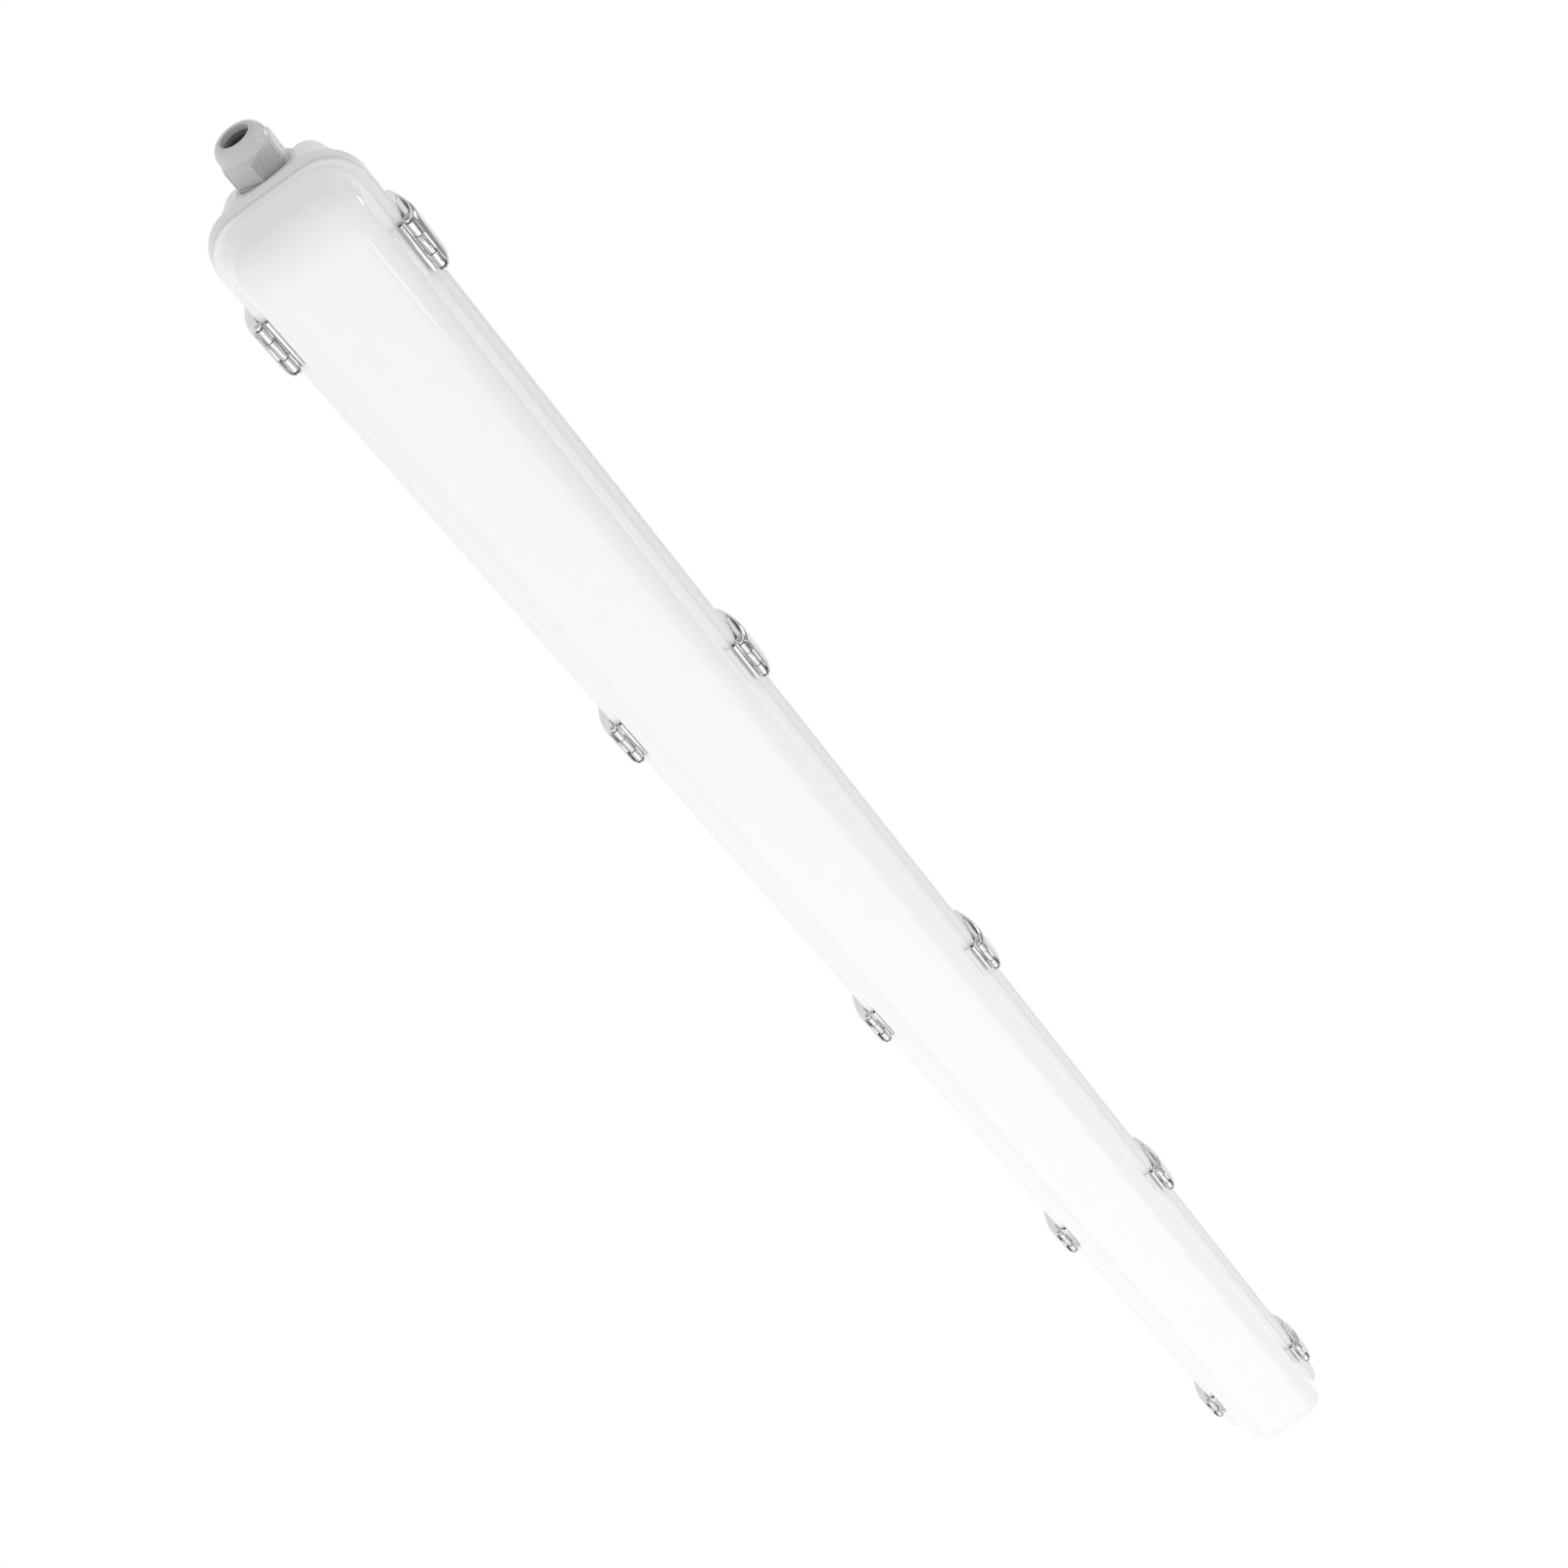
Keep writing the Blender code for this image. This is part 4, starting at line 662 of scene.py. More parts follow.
def opal_finish(colours):
    """Opal plastic: the thin dome carries a painted glow for the light through it, the thick flange
    doesn't.
    """
    finish = plastic(
        "Opal plastic", colours.diffuser, 0.14, grain=900, depth=0.000002, drift=0.05, stain=0.985
    )
    front = -FLANGE_FRONT - GAP
    flange = finish.overpaint(finish.height(), "GREATER_THAN", front, colours.flange)
    # Painted light: the dome emits a fixed glow that stands in for studio light passing through the
    # opal; the flange mask turns it off
    finish.glow(OPAL_PAINTED_GLOW, mixed(finish.tree, flange, (1, 1, 1), (0, 0, 0)))
    finish.set("Specular IOR Level", OPAL_SHINE)
    return finish


def insulation(name, shade, roughness=0.42, stain=0.97):
    return plastic(f"{name} insulation", shade, roughness, depth=0.000004, stain=stain)


def earth_finish():
    """Green insulation with a yellow stripe that winds round it."""
    finish = insulation("Earth", (0.08, 0.30, 0.05), 0.45)
    wave = add_node(finish.tree, "ShaderNodeTexWave", Vector=finish.place, Scale=40)
    finish.overpaint(wave["Fac"], "GREATER_THAN", 0.55, (0.75, 0.62, 0.04))
    return finish


# Housing and diffuser. A row is a rounded rectangle in plan: half length, half width,
# corner radius, and depth below the ceiling face.


def plan_ring(half_length, half_width, radius, depth):
    steps = bpy.context.scene.fixture_sizes.corner_steps
    points = []
    for corner, (across, side) in enumerate(((1, 1), (-1, 1), (-1, -1), (1, -1))):
        for step in range(steps + 1):
            angle = radians(90 * (corner + step / steps))
            x = across * (half_length - radius) + radius * cos(angle)
            y = side * (half_width - radius) + radius * sin(angle)
            points.append((x, y, -depth))
    return points


def rim_row(inset, depth):
    return HALF_LENGTH - inset, HALF_WIDTH - inset, RIM_RADIUS - inset, depth


def wall_row(depth, inset=0):
    """The housing's tapered outer wall at a depth, or a line inside it."""
    share = depth / LIP_TOP
    side = BACK_SIDE_INSET + (LIP_OVERHANG - BACK_SIDE_INSET) * share
    end = BACK_END_INSET + (LIP_OVERHANG - BACK_END_INSET) * share
    radius = BACK_RADIUS + (RIM_RADIUS - LIP_OVERHANG - BACK_RADIUS) * share
    return HALF_LENGTH - end - inset, HALF_WIDTH - side - inset, radius - inset, depth


def quarter(steps):
    """Angles over a quarter turn, both ends included."""
    return [radians(90 * step / steps) for step in range(steps + 1)]


def rounded(first, corner, last, steps):
    """Rows on a curve that rounds a corner between two others, both ends included."""
    rows = []
    for step in range(steps + 1):
        share = step / steps
        near, middle, far = (1 - share) ** 2, 2 * share * (1 - share), share**2
        rows.append([a * near + b * middle + c * far for a, b, c in zip(first, corner, last)])
    return rows


def rim_edges(inset, back, front):
    """Rows down the rim's outer side, with a small round at each end."""
    turns = [(1 - cos(angle), sin(angle)) for angle in quarter(3)]
    rows = [rim_row(inset + EDGE * (1 - down), back + EDGE * across) for across, down in turns]
    front -= EDGE
    return rows + [rim_row(inset + EDGE * across, front + EDGE * down) for across, down in turns]


def channel(insets, top, bottom):
    """Rows down at one inset of the rim and up at the other."""
    first, last = insets
    return [rim_row(first, top), rim_row(first, bottom), rim_row(last, bottom), rim_row(last, top)]


def housing_rows():
    """The shell from its back round the lip, the groove and the ridge to its inner floor."""
    rows = rounded(wall_row(0, BACK_FILLET), wall_row(0), wall_row(BACK_FILLET), 7)
    under = rim_row(LIP_OVERHANG - EDGE, LIP_TOP)
    rows += rounded(wall_row(LIP_TOP - EDGE), wall_row(LIP_TOP), under, 4)
    rows += rim_edges(0, LIP_TOP, RIM_FRONT)
    rows += channel(GROOVE_INSETS, RIM_FRONT, RIM_FRONT - GROOVE_DEPTH)
    rows += [rim_row(RIDGE_INSET, RIM_FRONT), wall_row(RIM_FRONT - RIDGE_HEIGHT, WALL)]
    wall, flat = wall_row(FLOOR + FLOOR_FILLET, WALL), wall_row(FLOOR, WALL + FLOOR_FILLET)
    return rows + rounded(wall, wall_row(FLOOR, WALL), flat, 4)


def gusset_ribs():
    """Thin ribs under the lip on both sides of each latch."""
    top = LIP_TOP - GUSSET_HEIGHT
    root, tip = wall_row(top)[1], HALF_WIDTH - GAP
    under, over = LIP_TOP - EMBED, LIP_TOP + EMBED
    section = [(root - EMBED, top), (root + GAP, top), (tip, under), (tip, over)]
    section.append((root - EMBED, over))
    inner = LEVER_WIDTH / 2 + EDGE
    ribs = []
    for x in LATCH_XS:
        for side in (1, -1):
            for start in (x + inner, x - inner - GUSSET_WIDTH):
                ends = (start, start + GUSSET_WIDTH)
                rings = [[(at, side * y, -depth) for y, depth in section] for at in ends]
                ribs.append(loft("gusset", rings))
    return join(ribs)


def axis_rod(radius, start, end):
    return rod(radius, start, end, 72, place=(0, 0, AXIS_Z))


def gland_seat(housing):
    """The boss, pocket and hole that the gland is clamped in."""
    boss = POCKET_RADIUS + BOSS_WALL
    combine(housing, axis_rod(boss, SEAT_X, BOSS_END))
    shell = axis_rod(boss, SEAT_X - BOSS_REACH, BOSS_BACK - GAP)
    edit_all(shell)
    bpy.ops.mesh.bisect(
        plane_co=(GAP - wall_row(-AXIS_Z)[0], 0, AXIS_Z),
        plane_no=(-1, 0, END_SLOPE),
        use_fill=True,
        clear_outer=True,
    )
    combine(housing, shell)
    relief = BODY_FLATS / 2 / COS_30 + 2 * GAP
    for radius, start, end in (
        (POCKET_RADIUS, -HALF_LENGTH - CLEAR, SEAT_X),
        (NECK_RADIUS + NECK_CLEARANCE, SEAT_X - CLEAR, BOSS_BACK + CLEAR),
        (relief, BOSS_BACK, BOSS_END + CLEAR),
    ):
        combine(housing, axis_rod(radius, start, end), "DIFFERENCE")


def tray_posts(housing):
    """The tapered posts that carry the gear tray, with their screw holes."""
    posts, bores = [], []
    for i in range(1, 5):
        low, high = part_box(f"tray_screw_{i}")
        place = ((low.x + high.x) / 2, (low.y + high.y) / 2, 0)
        posts.append(rod(POST_RADII[0], *POST_ENDS, 32, "Z", place, POST_RADII[1]))
        bores.append(rod(POST_BORE, *POST_BORE_ENDS, 24, "Z", place))
    combine(housing, join(posts))
    combine(housing, join(bores), "DIFFERENCE")


def back_details(housing):
    """Screw dimples in the back, and the knock-out ring in the far end wall."""
    dimples = [
        rod(DIMPLE_RADIUS, -MARK_DEPTH, CLEAR, 48, "Z", (x, 0, 0)) for x in (-DIMPLE_X, DIMPLE_X)
    ]
    combine(housing, join(dimples), "DIFFERENCE")
    outer, inner = KNOCKOUT_RADII
    ring = rod(outer, -MARK_DEPTH, CLEAR, 64)
    combine(ring, rod(inner, -CLEAR, CLEAR + MARK_DEPTH, 64), "DIFFERENCE")
    turn = Matrix.Rotation(-atan(END_SLOPE), 4, "Y")
    ring.data.transform(Matrix.Translation((wall_row(-AXIS_Z)[0], 0, AXIS_Z)) @ turn)
    combine(housing, ring, "DIFFERENCE")


class FIXTURE_OT_housing(bpy.types.Operator):
    """Moulds the tapered back shell with its lip, boss, posts and ribs"""

    bl_idname = "fixture.housing"
    bl_label = "Housing"

    def execute(self, context):
        housing = loft("housing_shell", [plan_ring(*row) for row in housing_rows()])
        combine(housing, gusset_ribs())
        tray_posts(housing)
        gland_seat(housing)
        back_details(housing)
        soften(housing, context.scene.fixture_sizes.edge_softness, 50)
        colours = context.scene.fixture_colours
        finish = plastic("Housing plastic", colours.housing, 0.40, grain=2200, depth=0.000007)
        put_on(housing, finish, "housing", "housing")
        return {"FINISHED"}


def dome_row(height, inset):
    """The dome's drafted wall at a height over the flange, or a line inside it."""
    draft = height * DOME_DRAFT + inset
    long, wide = HALF_LENGTH - CREASE_END, HALF_WIDTH - CREASE_SIDE
    return long - draft, wide - draft, CREASE_RADIUS - draft, FLANGE_FRONT + height


def dome_rows(wall, steps):
    """The dome from the top of its wall to its crown, as one unbroken curve."""
    long, wide, radius, depth = dome_row(DOME_WALL, wall)
    rise = CROWN - wall - CROWN_RISE - depth
    end, side, drop = (reach - wall for reach in SHOULDER_REACHES)
    rows = []
    for angle in quarter(steps):
        left = cos(angle)
        inward = 1 - left
        broad = CROWN_RISE * (1 - (1 - side * inward / wide) ** 2)
        down = depth + rise * sqrt(1 - left**SHOULDER_POWER) + broad
        rows.append((long - end * inward, wide - side * inward, radius - drop * inward, down))
    long_end, wide_end, radius_end, _ = rows[-1]
    for share in CROWN_SHARES:
        inset = wide_end - wide * share
        down = depth + rise + CROWN_RISE * (1 - share**2)
        rows.append((long_end - inset, wide * share, radius_end * wide * share / wide_end, down))
    return rows


def diffuser_rows(steps):
    """The cover from the inside of its crown round the tongue and the flange to its outside."""
    rows = dome_rows(DIFFUSER_WALL, max(4, steps // 2))[::-1]
    rows.append(dome_row(FLANGE_BACK - FLANGE_FRONT, DIFFUSER_WALL))
    rows += channel(TONGUE_INSETS[::-1], FLANGE_BACK, TONGUE_DEPTH)
    rows += rim_edges(FLANGE_INSET, FLANGE_BACK, FLANGE_FRONT)
    rows += rounded(dome_row(0, -CREASE_FILLET), dome_row(0, 0), dome_row(CREASE_FILLET, 0), 4)
    return rows + dome_rows(0, steps)


class FIXTURE_OT_diffuser(bpy.types.Operator):
    """Moulds the opal cover: tongue, flange, drafted wall, shoulder and crown"""

    bl_idname = "fixture.diffuser"
    bl_label = "Diffuser"

    def execute(self, context):
        rows = diffuser_rows(context.scene.fixture_sizes.shoulder_steps)
        diffuser = loft("diffuser_cover", [plan_ring(*row) for row in rows])
        soften(diffuser, 0, 40)
        finish = opal_finish(context.scene.fixture_colours)
        put_on(diffuser, finish, "diffuser", "diffuser")
        return {"FINISHED"}


# Gland


def gland_ring(x, angles, radius):
    """A ring round the gland's axis. The radius is a number, or a function of the angle."""
    points = []
    for angle in angles:
        reach = radius(angle) if callable(radius) else radius
        turn = angle + GLAND_TURN
        points.append((x, reach * cos(turn), AXIS_Z + reach * sin(turn)))
    return points


def turned(angles, rows):
    """Round rings about the gland's axis, from places and radii."""
    return [gland_ring(x, angles, radius) for x, radius in rows]


def grip_marks(count):
    """Angles from the first flat, and whether each lies on a rib. Every other flat is plain."""
    marks = {}
    for flat in range(6):
        middle = radians(60 * flat)
        if flat % 2:
            places = [(step / 6 - 1, True) for step in range(12)]
        else:
            places = [
                (((rib + place) / count * 2 - 1) * GRIP_SPAN, place in GRIP_PLACES[2:4])
                for rib in range(count)
                for place in GRIP_PLACES
            ]
        for across, on_rib in places:
            marks[middle + atan(across * tan(radians(30)))] = on_rib
    return marks


def hex_ring(x, marks, flats, groove=0, cap=1):
    """A hexagon with grip grooves, cut round at a cap."""

    def radius(angle):
        reach = flats / 2 / cos((angle + radians(30)) % radians(60) - radians(30))
        return min(reach if marks[angle] else reach - groove, cap)

    return gland_ring(x, marks, radius)


def hex_end(x, towards, flats, marks):
    """A cone-cut hexagon edge: round at its face, full hexagon a little further in."""
    face, corner = flats / 2 - CHAMFER_CUT, flats / 2 / COS_30
    rings = []
    for share in (0, 0.25, 0.5, 0.75, 1):
        at = x + towards * HEX_CHAMFER * share
        rings.append(hex_ring(at, marks, flats, cap=face + (corner - face) * share))
    return rings


def nut_rings(marks, groove):
    """The nut from its base: ribbed hexagon, cone, dome, mouth and bore."""
    rings = turned(marks, [(NUT_BASE, NUT_BORE)]) + hex_end(NUT_BASE, -1, NUT_FLATS, marks)
    for start, depth in zip(GRIP_STARTS, (0, groove)):
        rings.append(hex_ring(NUT_BASE - start, marks, NUT_FLATS, depth))
    cone, corner = NUT_HEX_END + CONE_START, NUT_FLATS / 2 / COS_30
    for step in range(7):
        share = step / 6
        at, depth = cone - CONE_LENGTH * share**1.6, groove * (1 - share**3)
        cap = corner + (CONE_RADIUS - corner) * share
        rings.append(hex_ring(at, marks, NUT_FLATS, depth, cap))
    rows = []
    for angle in quarter(12):
        at = NUT_HEX_END - DOME_START - (NUT_DOME - DOME_START) * sin(angle)
        rows.append((at, DOME_CENTRE + DOME_ROUND * cos(angle)))
    for angle in quarter(4):
        at = NUT_HEX_END - NUT_DOME + MOUTH_EDGE * (1 - cos(angle))
        rows.append((at, MOUTH_RADIUS + MOUTH_EDGE * (1 - sin(angle))))
    rows += [(NUT_SHOULDER, MOUTH_RADIUS), (NUT_SHOULDER, NUT_BORE)]
    return rings + turned(marks, rows)


def thread_rows(start, turns, crest):
    """Rings of thread, each a crest and the root before it."""
    rows = []
    for turn in range(turns):
        at = start - THREAD_START - turn * THREAD_PITCH
        rows += [(at, crest), *((at - down, crest - THREAD_DEPTH) for down in THREAD_ROOTS)]
    return rows


def body_rings(marks, groove):
    """The body from its inner end: neck thread, ribbed collar and barrel thread."""
    rows = [(NECK_END, BODY_BORE), (NECK_END, THREAD_RADIUS)]
    rows += [(NECK_END - THREAD_CHAMFER, NECK_RADIUS), *thread_rows(NECK_END, 7, NECK_RADIUS)]
    rows += [(COLLAR_BACK, NECK_RADIUS), (COLLAR_BACK, WASHER_RADII[1] + CHAMFER_CUT)]
    rings = turned(marks, rows) + hex_end(COLLAR_SEAT, -1, COLLAR_FLATS, marks)
    top, ribs = GRIP_STARTS
    for at, depth in (
        (COLLAR_SEAT - top, 0),
        (COLLAR_SEAT - ribs, groove),
        (COLLAR_FRONT + ribs, groove),
        (COLLAR_FRONT + top, 0),
    ):
        rings.append(hex_ring(at, marks, COLLAR_FLATS, depth))
    rings += hex_end(COLLAR_FRONT, 1, COLLAR_FLATS, marks)[::-1]
    rows = [(COLLAR_FRONT, THREAD_RADIUS), *thread_rows(COLLAR_FRONT, 8, THREAD_RADIUS)]
    rows.append((BARREL_FRONT + THREAD_CHAMFER, THREAD_RADIUS))
    rows += [(BARREL_FRONT, THREAD_RADIUS - THREAD_CHAMFER), (BARREL_FRONT, BODY_BORE)]
    return rings + turned(marks, rows)


class FIXTURE_OT_gland(bpy.types.Operator):
    """Turns the cable gland's body, seal and ribbed dome nut"""

    bl_idname = "fixture.gland"
    bl_label = "Cable gland"

    def execute(self, context):
        sizes, colours = context.scene.fixture_sizes, context.scene.fixture_colours
        grey = plastic("Gland plastic", colours.gland, 0.24, 3000, 0.000003, 0.24)
        rubber = plastic("Seal rubber", colours.rubber, 0.62, 2400, 0.000012, drift=0.18, stain=1.5)
        marks = grip_marks(sizes.rib_count)
        nut, body = nut_rings(marks, sizes.rib_depth), body_rings(marks, sizes.rib_depth)
        angles = [tau * step / SEAL_STEPS for step in range(SEAL_STEPS)]
        seal = turned(angles, [(BARREL_FRONT - out, radius) for out, radius in SEAL_ROWS])
        (inside, outside), (bore, edge) = WASHER_FACES, WASHER_RADII
        flat = turned(angles, [(inside, bore), (inside, edge), (outside, edge), (outside, bore)])
        for name, rings, width, angle, finish, *place in (
            ("dome", nut, 0, 32, grey, "gland_plastic", "gland_nut", "gland_dome_nut"),
            ("collar", body, 0, 32, grey, "gland_plastic", "gland_body"),
            ("rubber", seal, 0, 45, rubber, "seal_rubber", "gland_seal"),
            ("flat_washer", flat, WASHER_EDGE, 38, rubber, "seal_rubber", "gland_washer"),
        ):
            piece = loft(f"gland_{name}", rings, closed=True)
            soften(piece, width, angle)
            put_on(piece, finish, *place)
        locknut = twin("gland_locknut", "gland_inner_nut")
        soften(locknut, LOCKNUT_EDGE)
        put_on(locknut, grey, "gland_plastic", "gland_locknut")
        return {"FINISHED"}


# Latches, in a section across the hinge: out from the pin and up from it


def arc(radius, start, end, steps=20):
    """Points about the pin's axis, from one angle in degrees to another."""
    angles = [radians(start + (end - start) * step / steps) for step in range(steps + 1)]
    return [(radius * cos(angle), radius * sin(angle)) for angle in angles]


def round_box(low_y, high_y, low_z, high_z, radius):
    """A rectangle's outline with round corners."""
    points = []
    left, right, low, high = low_y + radius, high_y - radius, low_z + radius, high_z - radius
    for corner, (y, z) in enumerate(((right, high), (left, high), (left, low), (right, low))):
        points += [(y + dy, z + dz) for dy, dz in arc(radius, 90 * corner, 90 * corner + 90, 6)]
    return points


def drawn(name, outline, start, end):
    """An outline in section, drawn out along the hinge."""
    return loft(name, [[(x, y, z) for y, z in outline] for x in (start, end)])


def pin_bore(piece):
    combine(piece, drawn("bore", arc(PIN_BORE, 0, 348.75, 31), -CUT_REACH, CUT_REACH), "DIFFERENCE")


def press_clip():
    """A rolled strip, a web, two rolled lugs and a skirt beside the rim."""
    top = FLANGE_DROP - GAP
    bottom = top - SHEET
    skirt_out = SKIRT_IN + SHEET
    end = LUG_RADIUS + SKIRT_LENGTH
    web_end = -KNUCKLE_RADIUS - EDGE
    strip_out = STRIP_IN + STRIP_WIDTH
    strip = round_box(STRIP_IN, strip_out, top - STRIP_WIDTH, top, STRIP_ROUND)
    clip = drawn("clip", strip, -STRIP_LENGTH / 2, STRIP_LENGTH / 2)
    half = STRIP_LENGTH / 2 - GAP
    web_in = strip_out - STRIP_ROUND
    web = [(web_in, bottom), (web_end, bottom), (web_end, top), (web_in, top)]
    combine(clip, drawn("web", web, -half, half))
    low = degrees(asin(bottom / LUG_RADIUS))
    high = degrees(acos(skirt_out / LUG_RADIUS))
    inner = degrees(acos(SKIRT_IN / LUG_RADIUS))
    lug = [(web_end - EMBED, bottom + WELD), *arc(LUG_RADIUS, 180 - low, 360 + high, 36)]
    lug += [(skirt_out, end), (SKIRT_IN, end)]
    lug += arc(LUG_RADIUS, inner, 180 - degrees(asin(top / LUG_RADIUS)), 6)
    lug.append((web_end - EMBED, top - WELD))
    for ends in ((-LUG_OUTER, -LUG_INNER), (LUG_INNER, LUG_OUTER)):
        combine(clip, drawn("lug", lug, *ends))
    skirt = [(SKIRT_IN, SKIRT_START), (skirt_out, SKIRT_START), (skirt_out, end), (SKIRT_IN, end)]
    combine(clip, drawn("skirt", skirt, -LUG_INNER - EMBED, LUG_INNER + EMBED))
    y, z = STRIP_IN + STRIP_WIDTH / 2, top - STRIP_WIDTH / 2
    across, up, corner = SLOT_SIZES
    slot = round_box(y - across, y + across, z - up, z + up, corner)
    combine(clip, drawn("slot", slot, -CUT_REACH, CUT_REACH), "DIFFERENCE")
    pin_bore(clip)
    return clip


def lever_line(roll):
    """The lever plate's outer line, which rolls inwards at the cheeks, most near the hinge."""
    knots = [(LUG_RADIUS + EMBED + SHEET, -TONGUE_START)]
    knots += [(y * LEVER_STANDOFF, z * LEVER_LENGTH) for y, z in LEVER_SHARES]
    knots = [knots[0], *knots, knots[-1]]
    points = []
    for ends in zip(knots, knots[1:], knots[2:], knots[3:]):
        for t in (0, 0.25, 0.5, 0.75):
            weights = (
                -t / 2 + t * t - t**3 / 2,
                1 - 2.5 * t * t + 1.5 * t**3,
                t / 2 + 2 * t * t - 1.5 * t**3,
                (t**3 - t * t) / 2,
            )
            points.append([sum(w * at for w, at in zip(weights, axis)) for axis in zip(*ends)])
    points.append(knots[-1])
    fades = [1 - ROLL_FADE * (z / LEVER_LENGTH) ** 2 for _, z in points]
    return [(min(y, LEVER_STANDOFF) - roll * fade, z) for (y, z), fade in zip(points, fades)]


def inset_line(points, distance):
    """A line beside this one, nearer to the fixture."""
    moved = []
    for i, (y, z) in enumerate(points):
        before, after = points[max(i - 1, 0)], points[min(i + 1, len(points) - 1)]
        along = Vector((after[0] - before[0], after[1] - before[1])).normalized()
        moved.append((y - distance * along.y, z + distance * along.x))
    return moved


def rolled_stations(half, reach):
    """Places along the hinge, and how far the plate has rolled inwards at each."""
    right = [(half - reach * (1 - cos(a)), ROLL * (1 - sin(a))) for a in quarter(8)]
    return [(-x, roll) for x, roll in right] + right[::-1]


def press_lever():
    """A bowed plate with side cheeks, ears on the pin, noses and a middle knuckle."""
    nose_top = FLANGE_DROP + FLANGE_FRONT - LIP_TOP + GAP
    nose_tip = SKIRT_IN - NOSE_REACH
    ear = arc(EAR_RADIUS, degrees(acos(SKIRT_IN / EAR_RADIUS)), 290, 24)
    half = LEVER_WIDTH / 2

    def cheek(x, roll):
        outer = lever_line(roll)
        (deep, z), (end, low) = outer[20], outer[-1]
        inner = [(end - CHEEK_END, low - TONGUE_START), (deep - CHEEK_DEPTH, z)]
        inner += [(nose_tip, nose_top + NOSE_HEIGHT), (nose_tip, nose_top), (SKIRT_IN, nose_top)]
        return [(x, y, z) for y, z in outer + inner + ear]

    def room(x, roll):
        inner = inset_line(lever_line(roll), SHEET)
        low, high = inner[0][1] - 2 * CLEAR, inner[-1][1] + CLEAR / 2
        back = nose_tip - 2 * CLEAR
        points = [(inner[0][0], low), *inner, (inner[-1][0], high), (back, high), (back, low)]
        return [(x, y, z) for y, z in points]

    outside, inside = ROLL_REACHES
    lever = loft("lever", [cheek(*station) for station in rolled_stations(half, outside)])
    stations = rolled_stations(half - SHEET, inside)
    combine(lever, loft("room", [room(*station) for station in stations]), "DIFFERENCE")
    plan = [(side * (half + CLEAR / 2), -2 * CLEAR) for side in (1, -1)]
    for side, start, end in ((-1, 180, 90), (1, 90, 0)):
        x, z = side * (half - LEVER_CORNER), LEVER_LENGTH + GAP - LEVER_CORNER
        plan += [(x + dx, z + dz) for dx, dz in arc(LEVER_CORNER, start, end, 12)]
    keep = loft("keep", [[(x, y, z) for x, z in plan] for y in (-KEEP_REACH, KEEP_REACH)])
    combine(lever, keep, "INTERSECT")
    knuckle = drawn("knuckle", arc(KNUCKLE_RADIUS, 0, 352.5, 47), -KNUCKLE_HALF, KNUCKLE_HALF)
    combine(lever, knuckle)
    near, far = (PIN_BORE + KNUCKLE_RADIUS) / 2, inset_line(lever_line(0), SHEET / 2)[0][0]
    wide = KNUCKLE_HALF - WELD * 3
    tongue = [(wide, near), (TONGUE_HALF, far), (-TONGUE_HALF, far), (-wide, near)]
    rings = [[(x, y, z) for x, y in tongue] for z in (-TONGUE_START, SHEET - TONGUE_START)]
    combine(lever, loft("tongue", rings))
    pin_bore(lever)
    return lever


class FIXTURE_OT_latches(bpy.types.Operator):
    """Presses one latch and sets its ten copies along both sides"""

    bl_idname = "fixture.latches"
    bl_label = "Latches"

    def execute(self, context):
        colours = context.scene.fixture_colours
        steel = metal("Polished stainless", colours.steel, 0.13, depth=0.000001, spread=0.06)
        wire = metal("Drawn pin steel", colours.pin, 0.30, 5200, 0.000004, spread=0.2)
        reach = LEVER_WIDTH / 2 + PIN_END
        pin = drawn("pin", arc(PIN_RADIUS, 0, 345, 23), -reach, reach)
        for kind, title, model, finish, slot in (
            ("clip", "plate", press_clip(), steel, "latch_stainless"),
            ("lever", "handle", press_lever(), steel, "latch_stainless"),
            ("pin", "rod", pin, wire, "pin_steel"),
        ):
            soften(model, context.scene.fixture_sizes.sheet_softness, 36)
            for name in [f"latch_{side}_{i}" for side in ("left", "right") for i in range(1, 6)]:
                place = Matrix.Translation(JOINTS[f"{name}_hinge"]["pos_m"])
                turn = Matrix.Rotation(pi if "right" in name else 0, 4, "Z")
                piece = add_object(f"{name}_{title}", model.data.copy())
                piece.data.transform(place @ turn)
                body = name if kind == "lever" else "fixture"
                put_on(piece, finish, slot, f"{name}_{kind}", body)
            bpy.data.objects.remove(model)
        return {"FINISHED"}


class FIXTURE_OT_inside(bpy.types.Operator):
    """Paints what the housing holds: gasket, tray, boards, driver, block, leads, screws"""

    bl_idname = "fixture.inside"
    bl_label = "Inner pieces"

    def execute(self, context):
        colours = context.scene.fixture_colours
        zinc = metal("Zinc plate", colours.zinc, 0.30, 2600, 0.000004, stretch=1.0, spread=0.2)
        block = plastic("Natural plastic", colours.block, 0.48)
        finishes = {
            "gasket": plastic("Foam gasket", colours.gasket, 0.85, 1400, 0.00004, stain=1.4),
            "gear_tray": plastic("Powder coat", colours.tray, 0.46, grain=1500, depth=0.00001),
            "led_board": board_finish(colours),
            "led_link": block,
            "led_driver": plastic("Driver case", colours.driver, 0.42, grain=1900, depth=0.000012),
            "terminal_block": block,
            "tray_screw": zinc,
            "driver_screw": zinc,
            "lead_live": insulation("Brown", (0.19, 0.07, 0.03)),
            "lead_neutral": insulation("Blue", (0.03, 0.12, 0.42)),
            "lead_earth": earth_finish(),
            "lead_plus": insulation("Red", (0.45, 0.02, 0.02)),
            "lead_minus": insulation("Black", (0.02, 0.02, 0.02), stain=1.3),
        }
        for name, node in frame["nodes"].items():
            for start, finish in finishes.items():
                if name.startswith(start):
                    for place in node.material_slots:
                        place.material = finish.material
        return {"FINISHED"}


# Studio


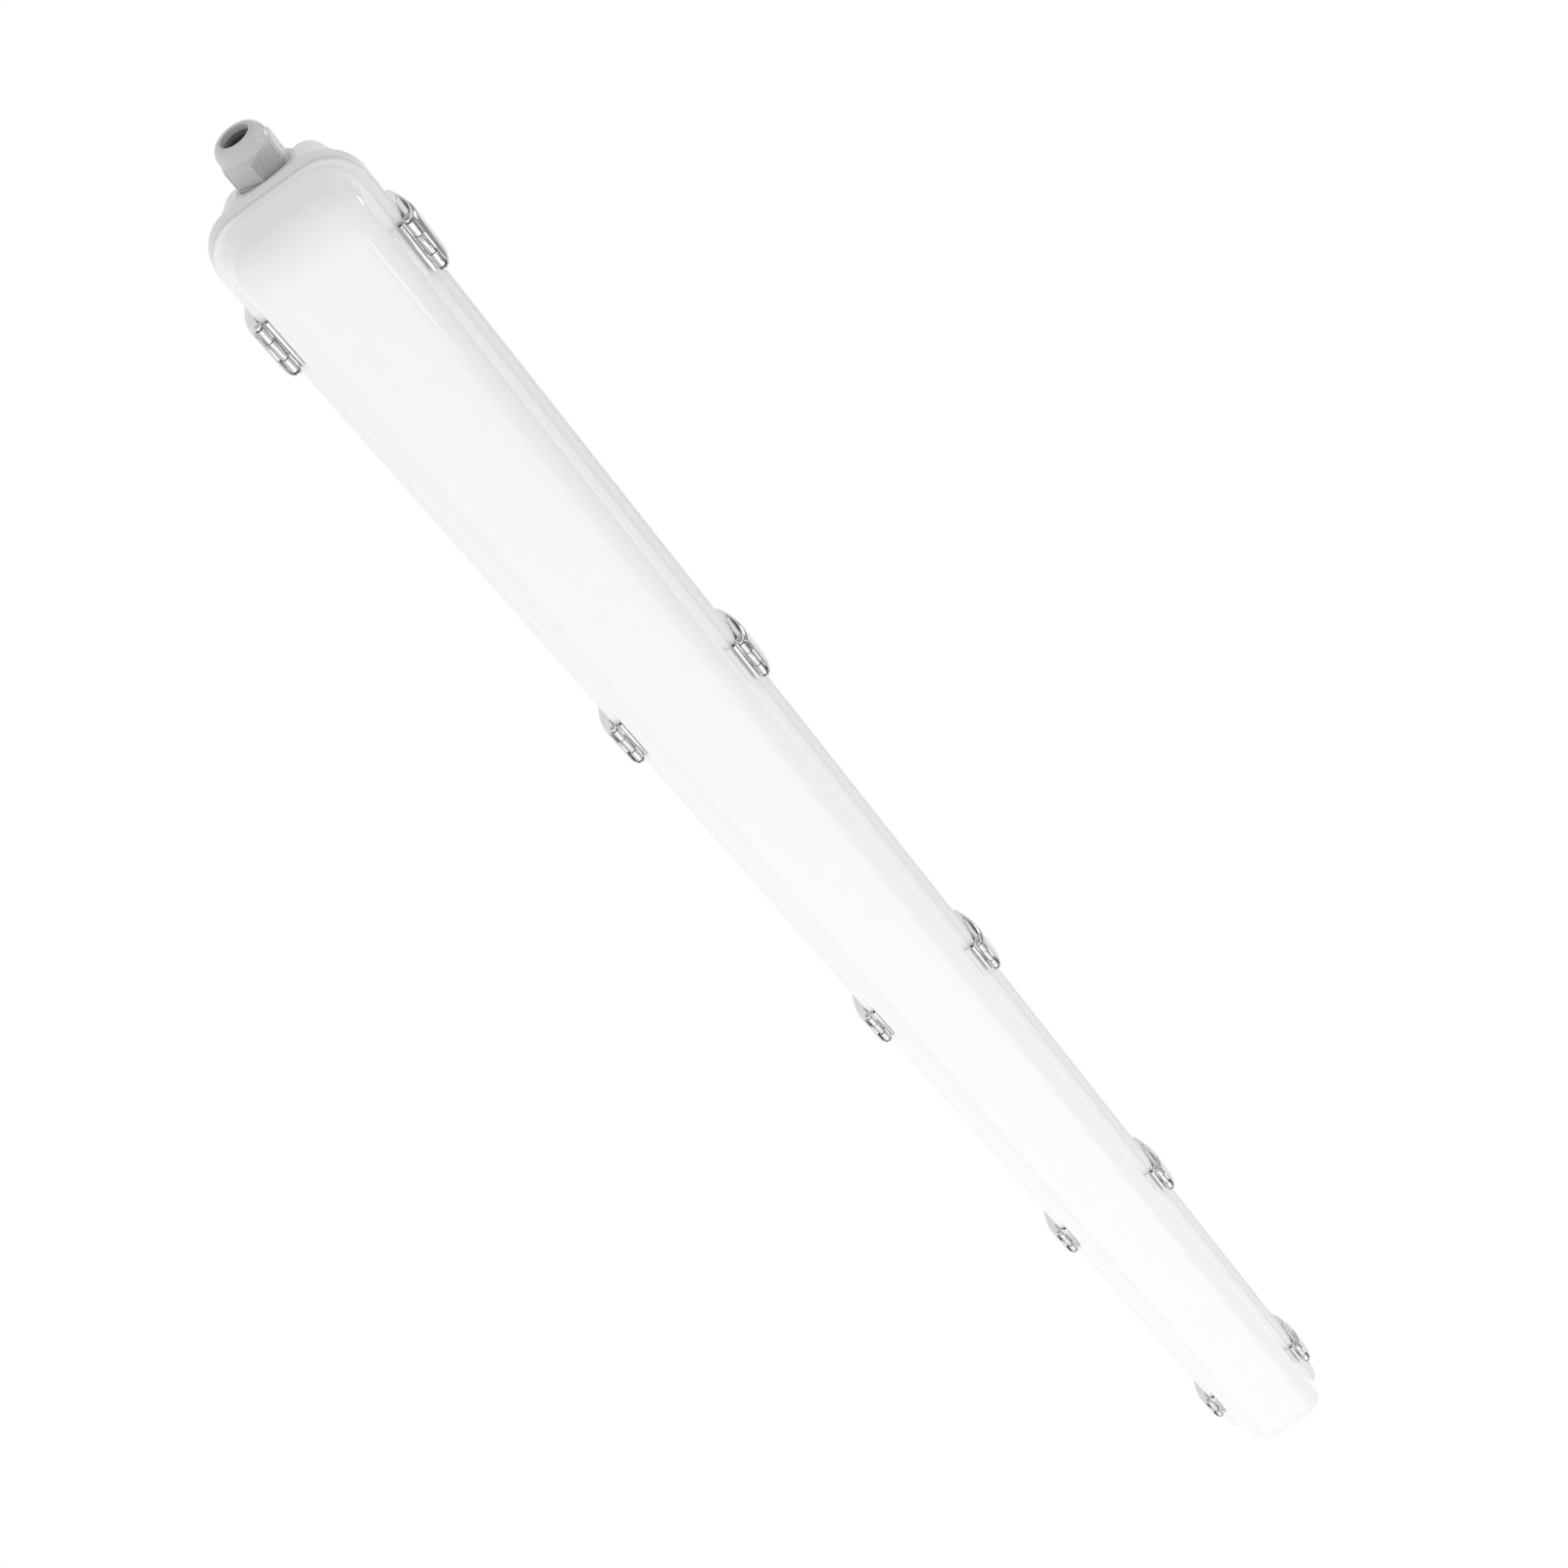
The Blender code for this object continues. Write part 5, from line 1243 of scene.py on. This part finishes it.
def area_lamp(name, power, size, place, aim):
    data = bpy.data.lights.new(name, "AREA")
    data.energy = power
    data.shape = "RECTANGLE"
    data.size, data.size_y = size
    lamp = add_object(name, data)
    lamp.location = place
    lamp.rotation_euler = (Vector(aim) - Vector(place)).to_track_quat("-Z", "Y").to_euler()
    lamp.visible_camera = lamp.visible_glossy = False


def matt_paint(name, shade, roughness=0.9):
    return plastic(name, shade, roughness, grain=60, depth=0.0002)


def stage_plane(name, size, place, finish):
    """A plane of the studio, moved by a matrix and left at the origin."""
    deselect_all()
    bpy.ops.mesh.primitive_plane_add(size=1)
    plane = bpy.context.object
    plane.name = name
    plane.data.transform(place @ Matrix.Diagonal((*size, 1, 1)))
    plane.data.materials.append(finish.material)
    return plane


def shade_cards(title, shade, glow, cards):
    """Cards that only polished surfaces see, as photographers set for steel."""
    finish = matt_paint(f"Card {title}", (shade, shade, shade))
    finish.glow(glow)
    for name, size, place, aim in cards:
        turn = (Vector(aim) - Vector(place)).to_track_quat("Z", "Y").to_matrix().to_4x4()
        card = stage_plane(name, size, Matrix.Translation(place) @ turn, finish)
        card.visible_camera = card.visible_diffuse = card.visible_shadow = False
        card.visible_transmission = False


def studio_world(level):
    """White for the eye and for reflections, plainer for the light itself."""
    world = bpy.data.worlds.new("Studio")
    bpy.context.scene.world = world
    world.use_nodes = True
    tree = world.node_tree
    tree.nodes.clear()
    path = add_node(tree, "ShaderNodeLightPath")
    seen = maths(tree, "MAXIMUM", path["Is Camera Ray"], path["Is Glossy Ray"])
    mix = tree.nodes.new("ShaderNodeMixShader")
    feed(tree, mix.inputs[0], maths(tree, "MAXIMUM", seen, path["Is Transmission Ray"]))
    for socket, power in zip(mix.inputs[1:], (level, 1.0)):
        light = add_node(tree, "ShaderNodeBackground", Color=(1, 1, 1), Strength=power)
        feed(tree, socket, light[0])
    add_node(tree, "ShaderNodeOutputWorld", Surface=mix.outputs[0])


def photo_camera(scene):
    data = bpy.data.cameras.new("photo_camera")
    data.lens = CAMERA_LENS
    data.clip_start = 0.01
    camera = add_object("photo_camera", data)
    turn = Matrix((CAMERA_RIGHT, CAMERA_UP, -Vector(CAMERA_FORWARD))).transposed().to_4x4()
    camera.matrix_world = Matrix.Translation(CAMERA_PLACE) @ turn
    scene.camera = camera


class FIXTURE_OT_stage(bpy.types.Operator):
    """Sets the pale floor, the soft lamps and the photograph's camera"""

    bl_idname = "fixture.stage"
    bl_label = "Studio"

    def execute(self, context):
        scene = context.scene
        levels = scene.stage_levels
        paint = matt_paint("Floor paint", scene.fixture_colours.floor, 0.85)
        place = Matrix.Translation((0, 0, -levels.floor_depth))
        stage_plane("studio_floor", (16, 16), place, paint)
        studio_world(levels.around)
        for name, *layout in LAMPS:
            area_lamp(f"lamp_{name}", getattr(levels, name), *layout)
        for row in CARDS:
            shade_cards(*row)
        photo_camera(scene)
        scene.view_settings.view_transform = "Standard"
        return {"FINISHED"}


class FIXTURE_PT_panel(bpy.types.Panel):
    """Lists the fixture's sizes, colours and building steps"""

    bl_idname = "FIXTURE_PT_panel"
    bl_label = "Vapor tight light"
    bl_space_type = "VIEW_3D"
    bl_region_type = "UI"
    bl_category = "Fixture"

    def draw(self, context):
        for title, group in SETTINGS.items():
            box = self.layout.box()
            for name in group.__annotations__:
                box.prop(getattr(context.scene, title), name)
        for operator in OPERATORS:
            self.layout.operator(operator.bl_idname)


OPERATORS = (
    FIXTURE_OT_housing,
    FIXTURE_OT_diffuser,
    FIXTURE_OT_gland,
    FIXTURE_OT_latches,
    FIXTURE_OT_inside,
    FIXTURE_OT_stage,
)
SETTINGS = {
    "fixture_sizes": FixtureSizes,
    "fixture_colours": FixtureColours,
    "stage_levels": StageLevels,
}
CLASSES = (*SETTINGS.values(), *OPERATORS, FIXTURE_PT_panel)


def register():
    for cls in CLASSES:
        bpy.utils.register_class(cls)
    for name, group in SETTINGS.items():
        setattr(bpy.types.Scene, name, PointerProperty(type=group))


def unregister():
    for name in SETTINGS:
        delattr(bpy.types.Scene, name)
    for cls in reversed(CLASSES):
        bpy.utils.unregister_class(cls)


def main():
    register()
    bpy.ops.fixture.housing()
    bpy.ops.fixture.diffuser()
    bpy.ops.fixture.gland()
    bpy.ops.fixture.latches()
    bpy.ops.fixture.inside()
    bpy.ops.fixture.stage()


if __name__ == "__main__":
    main()
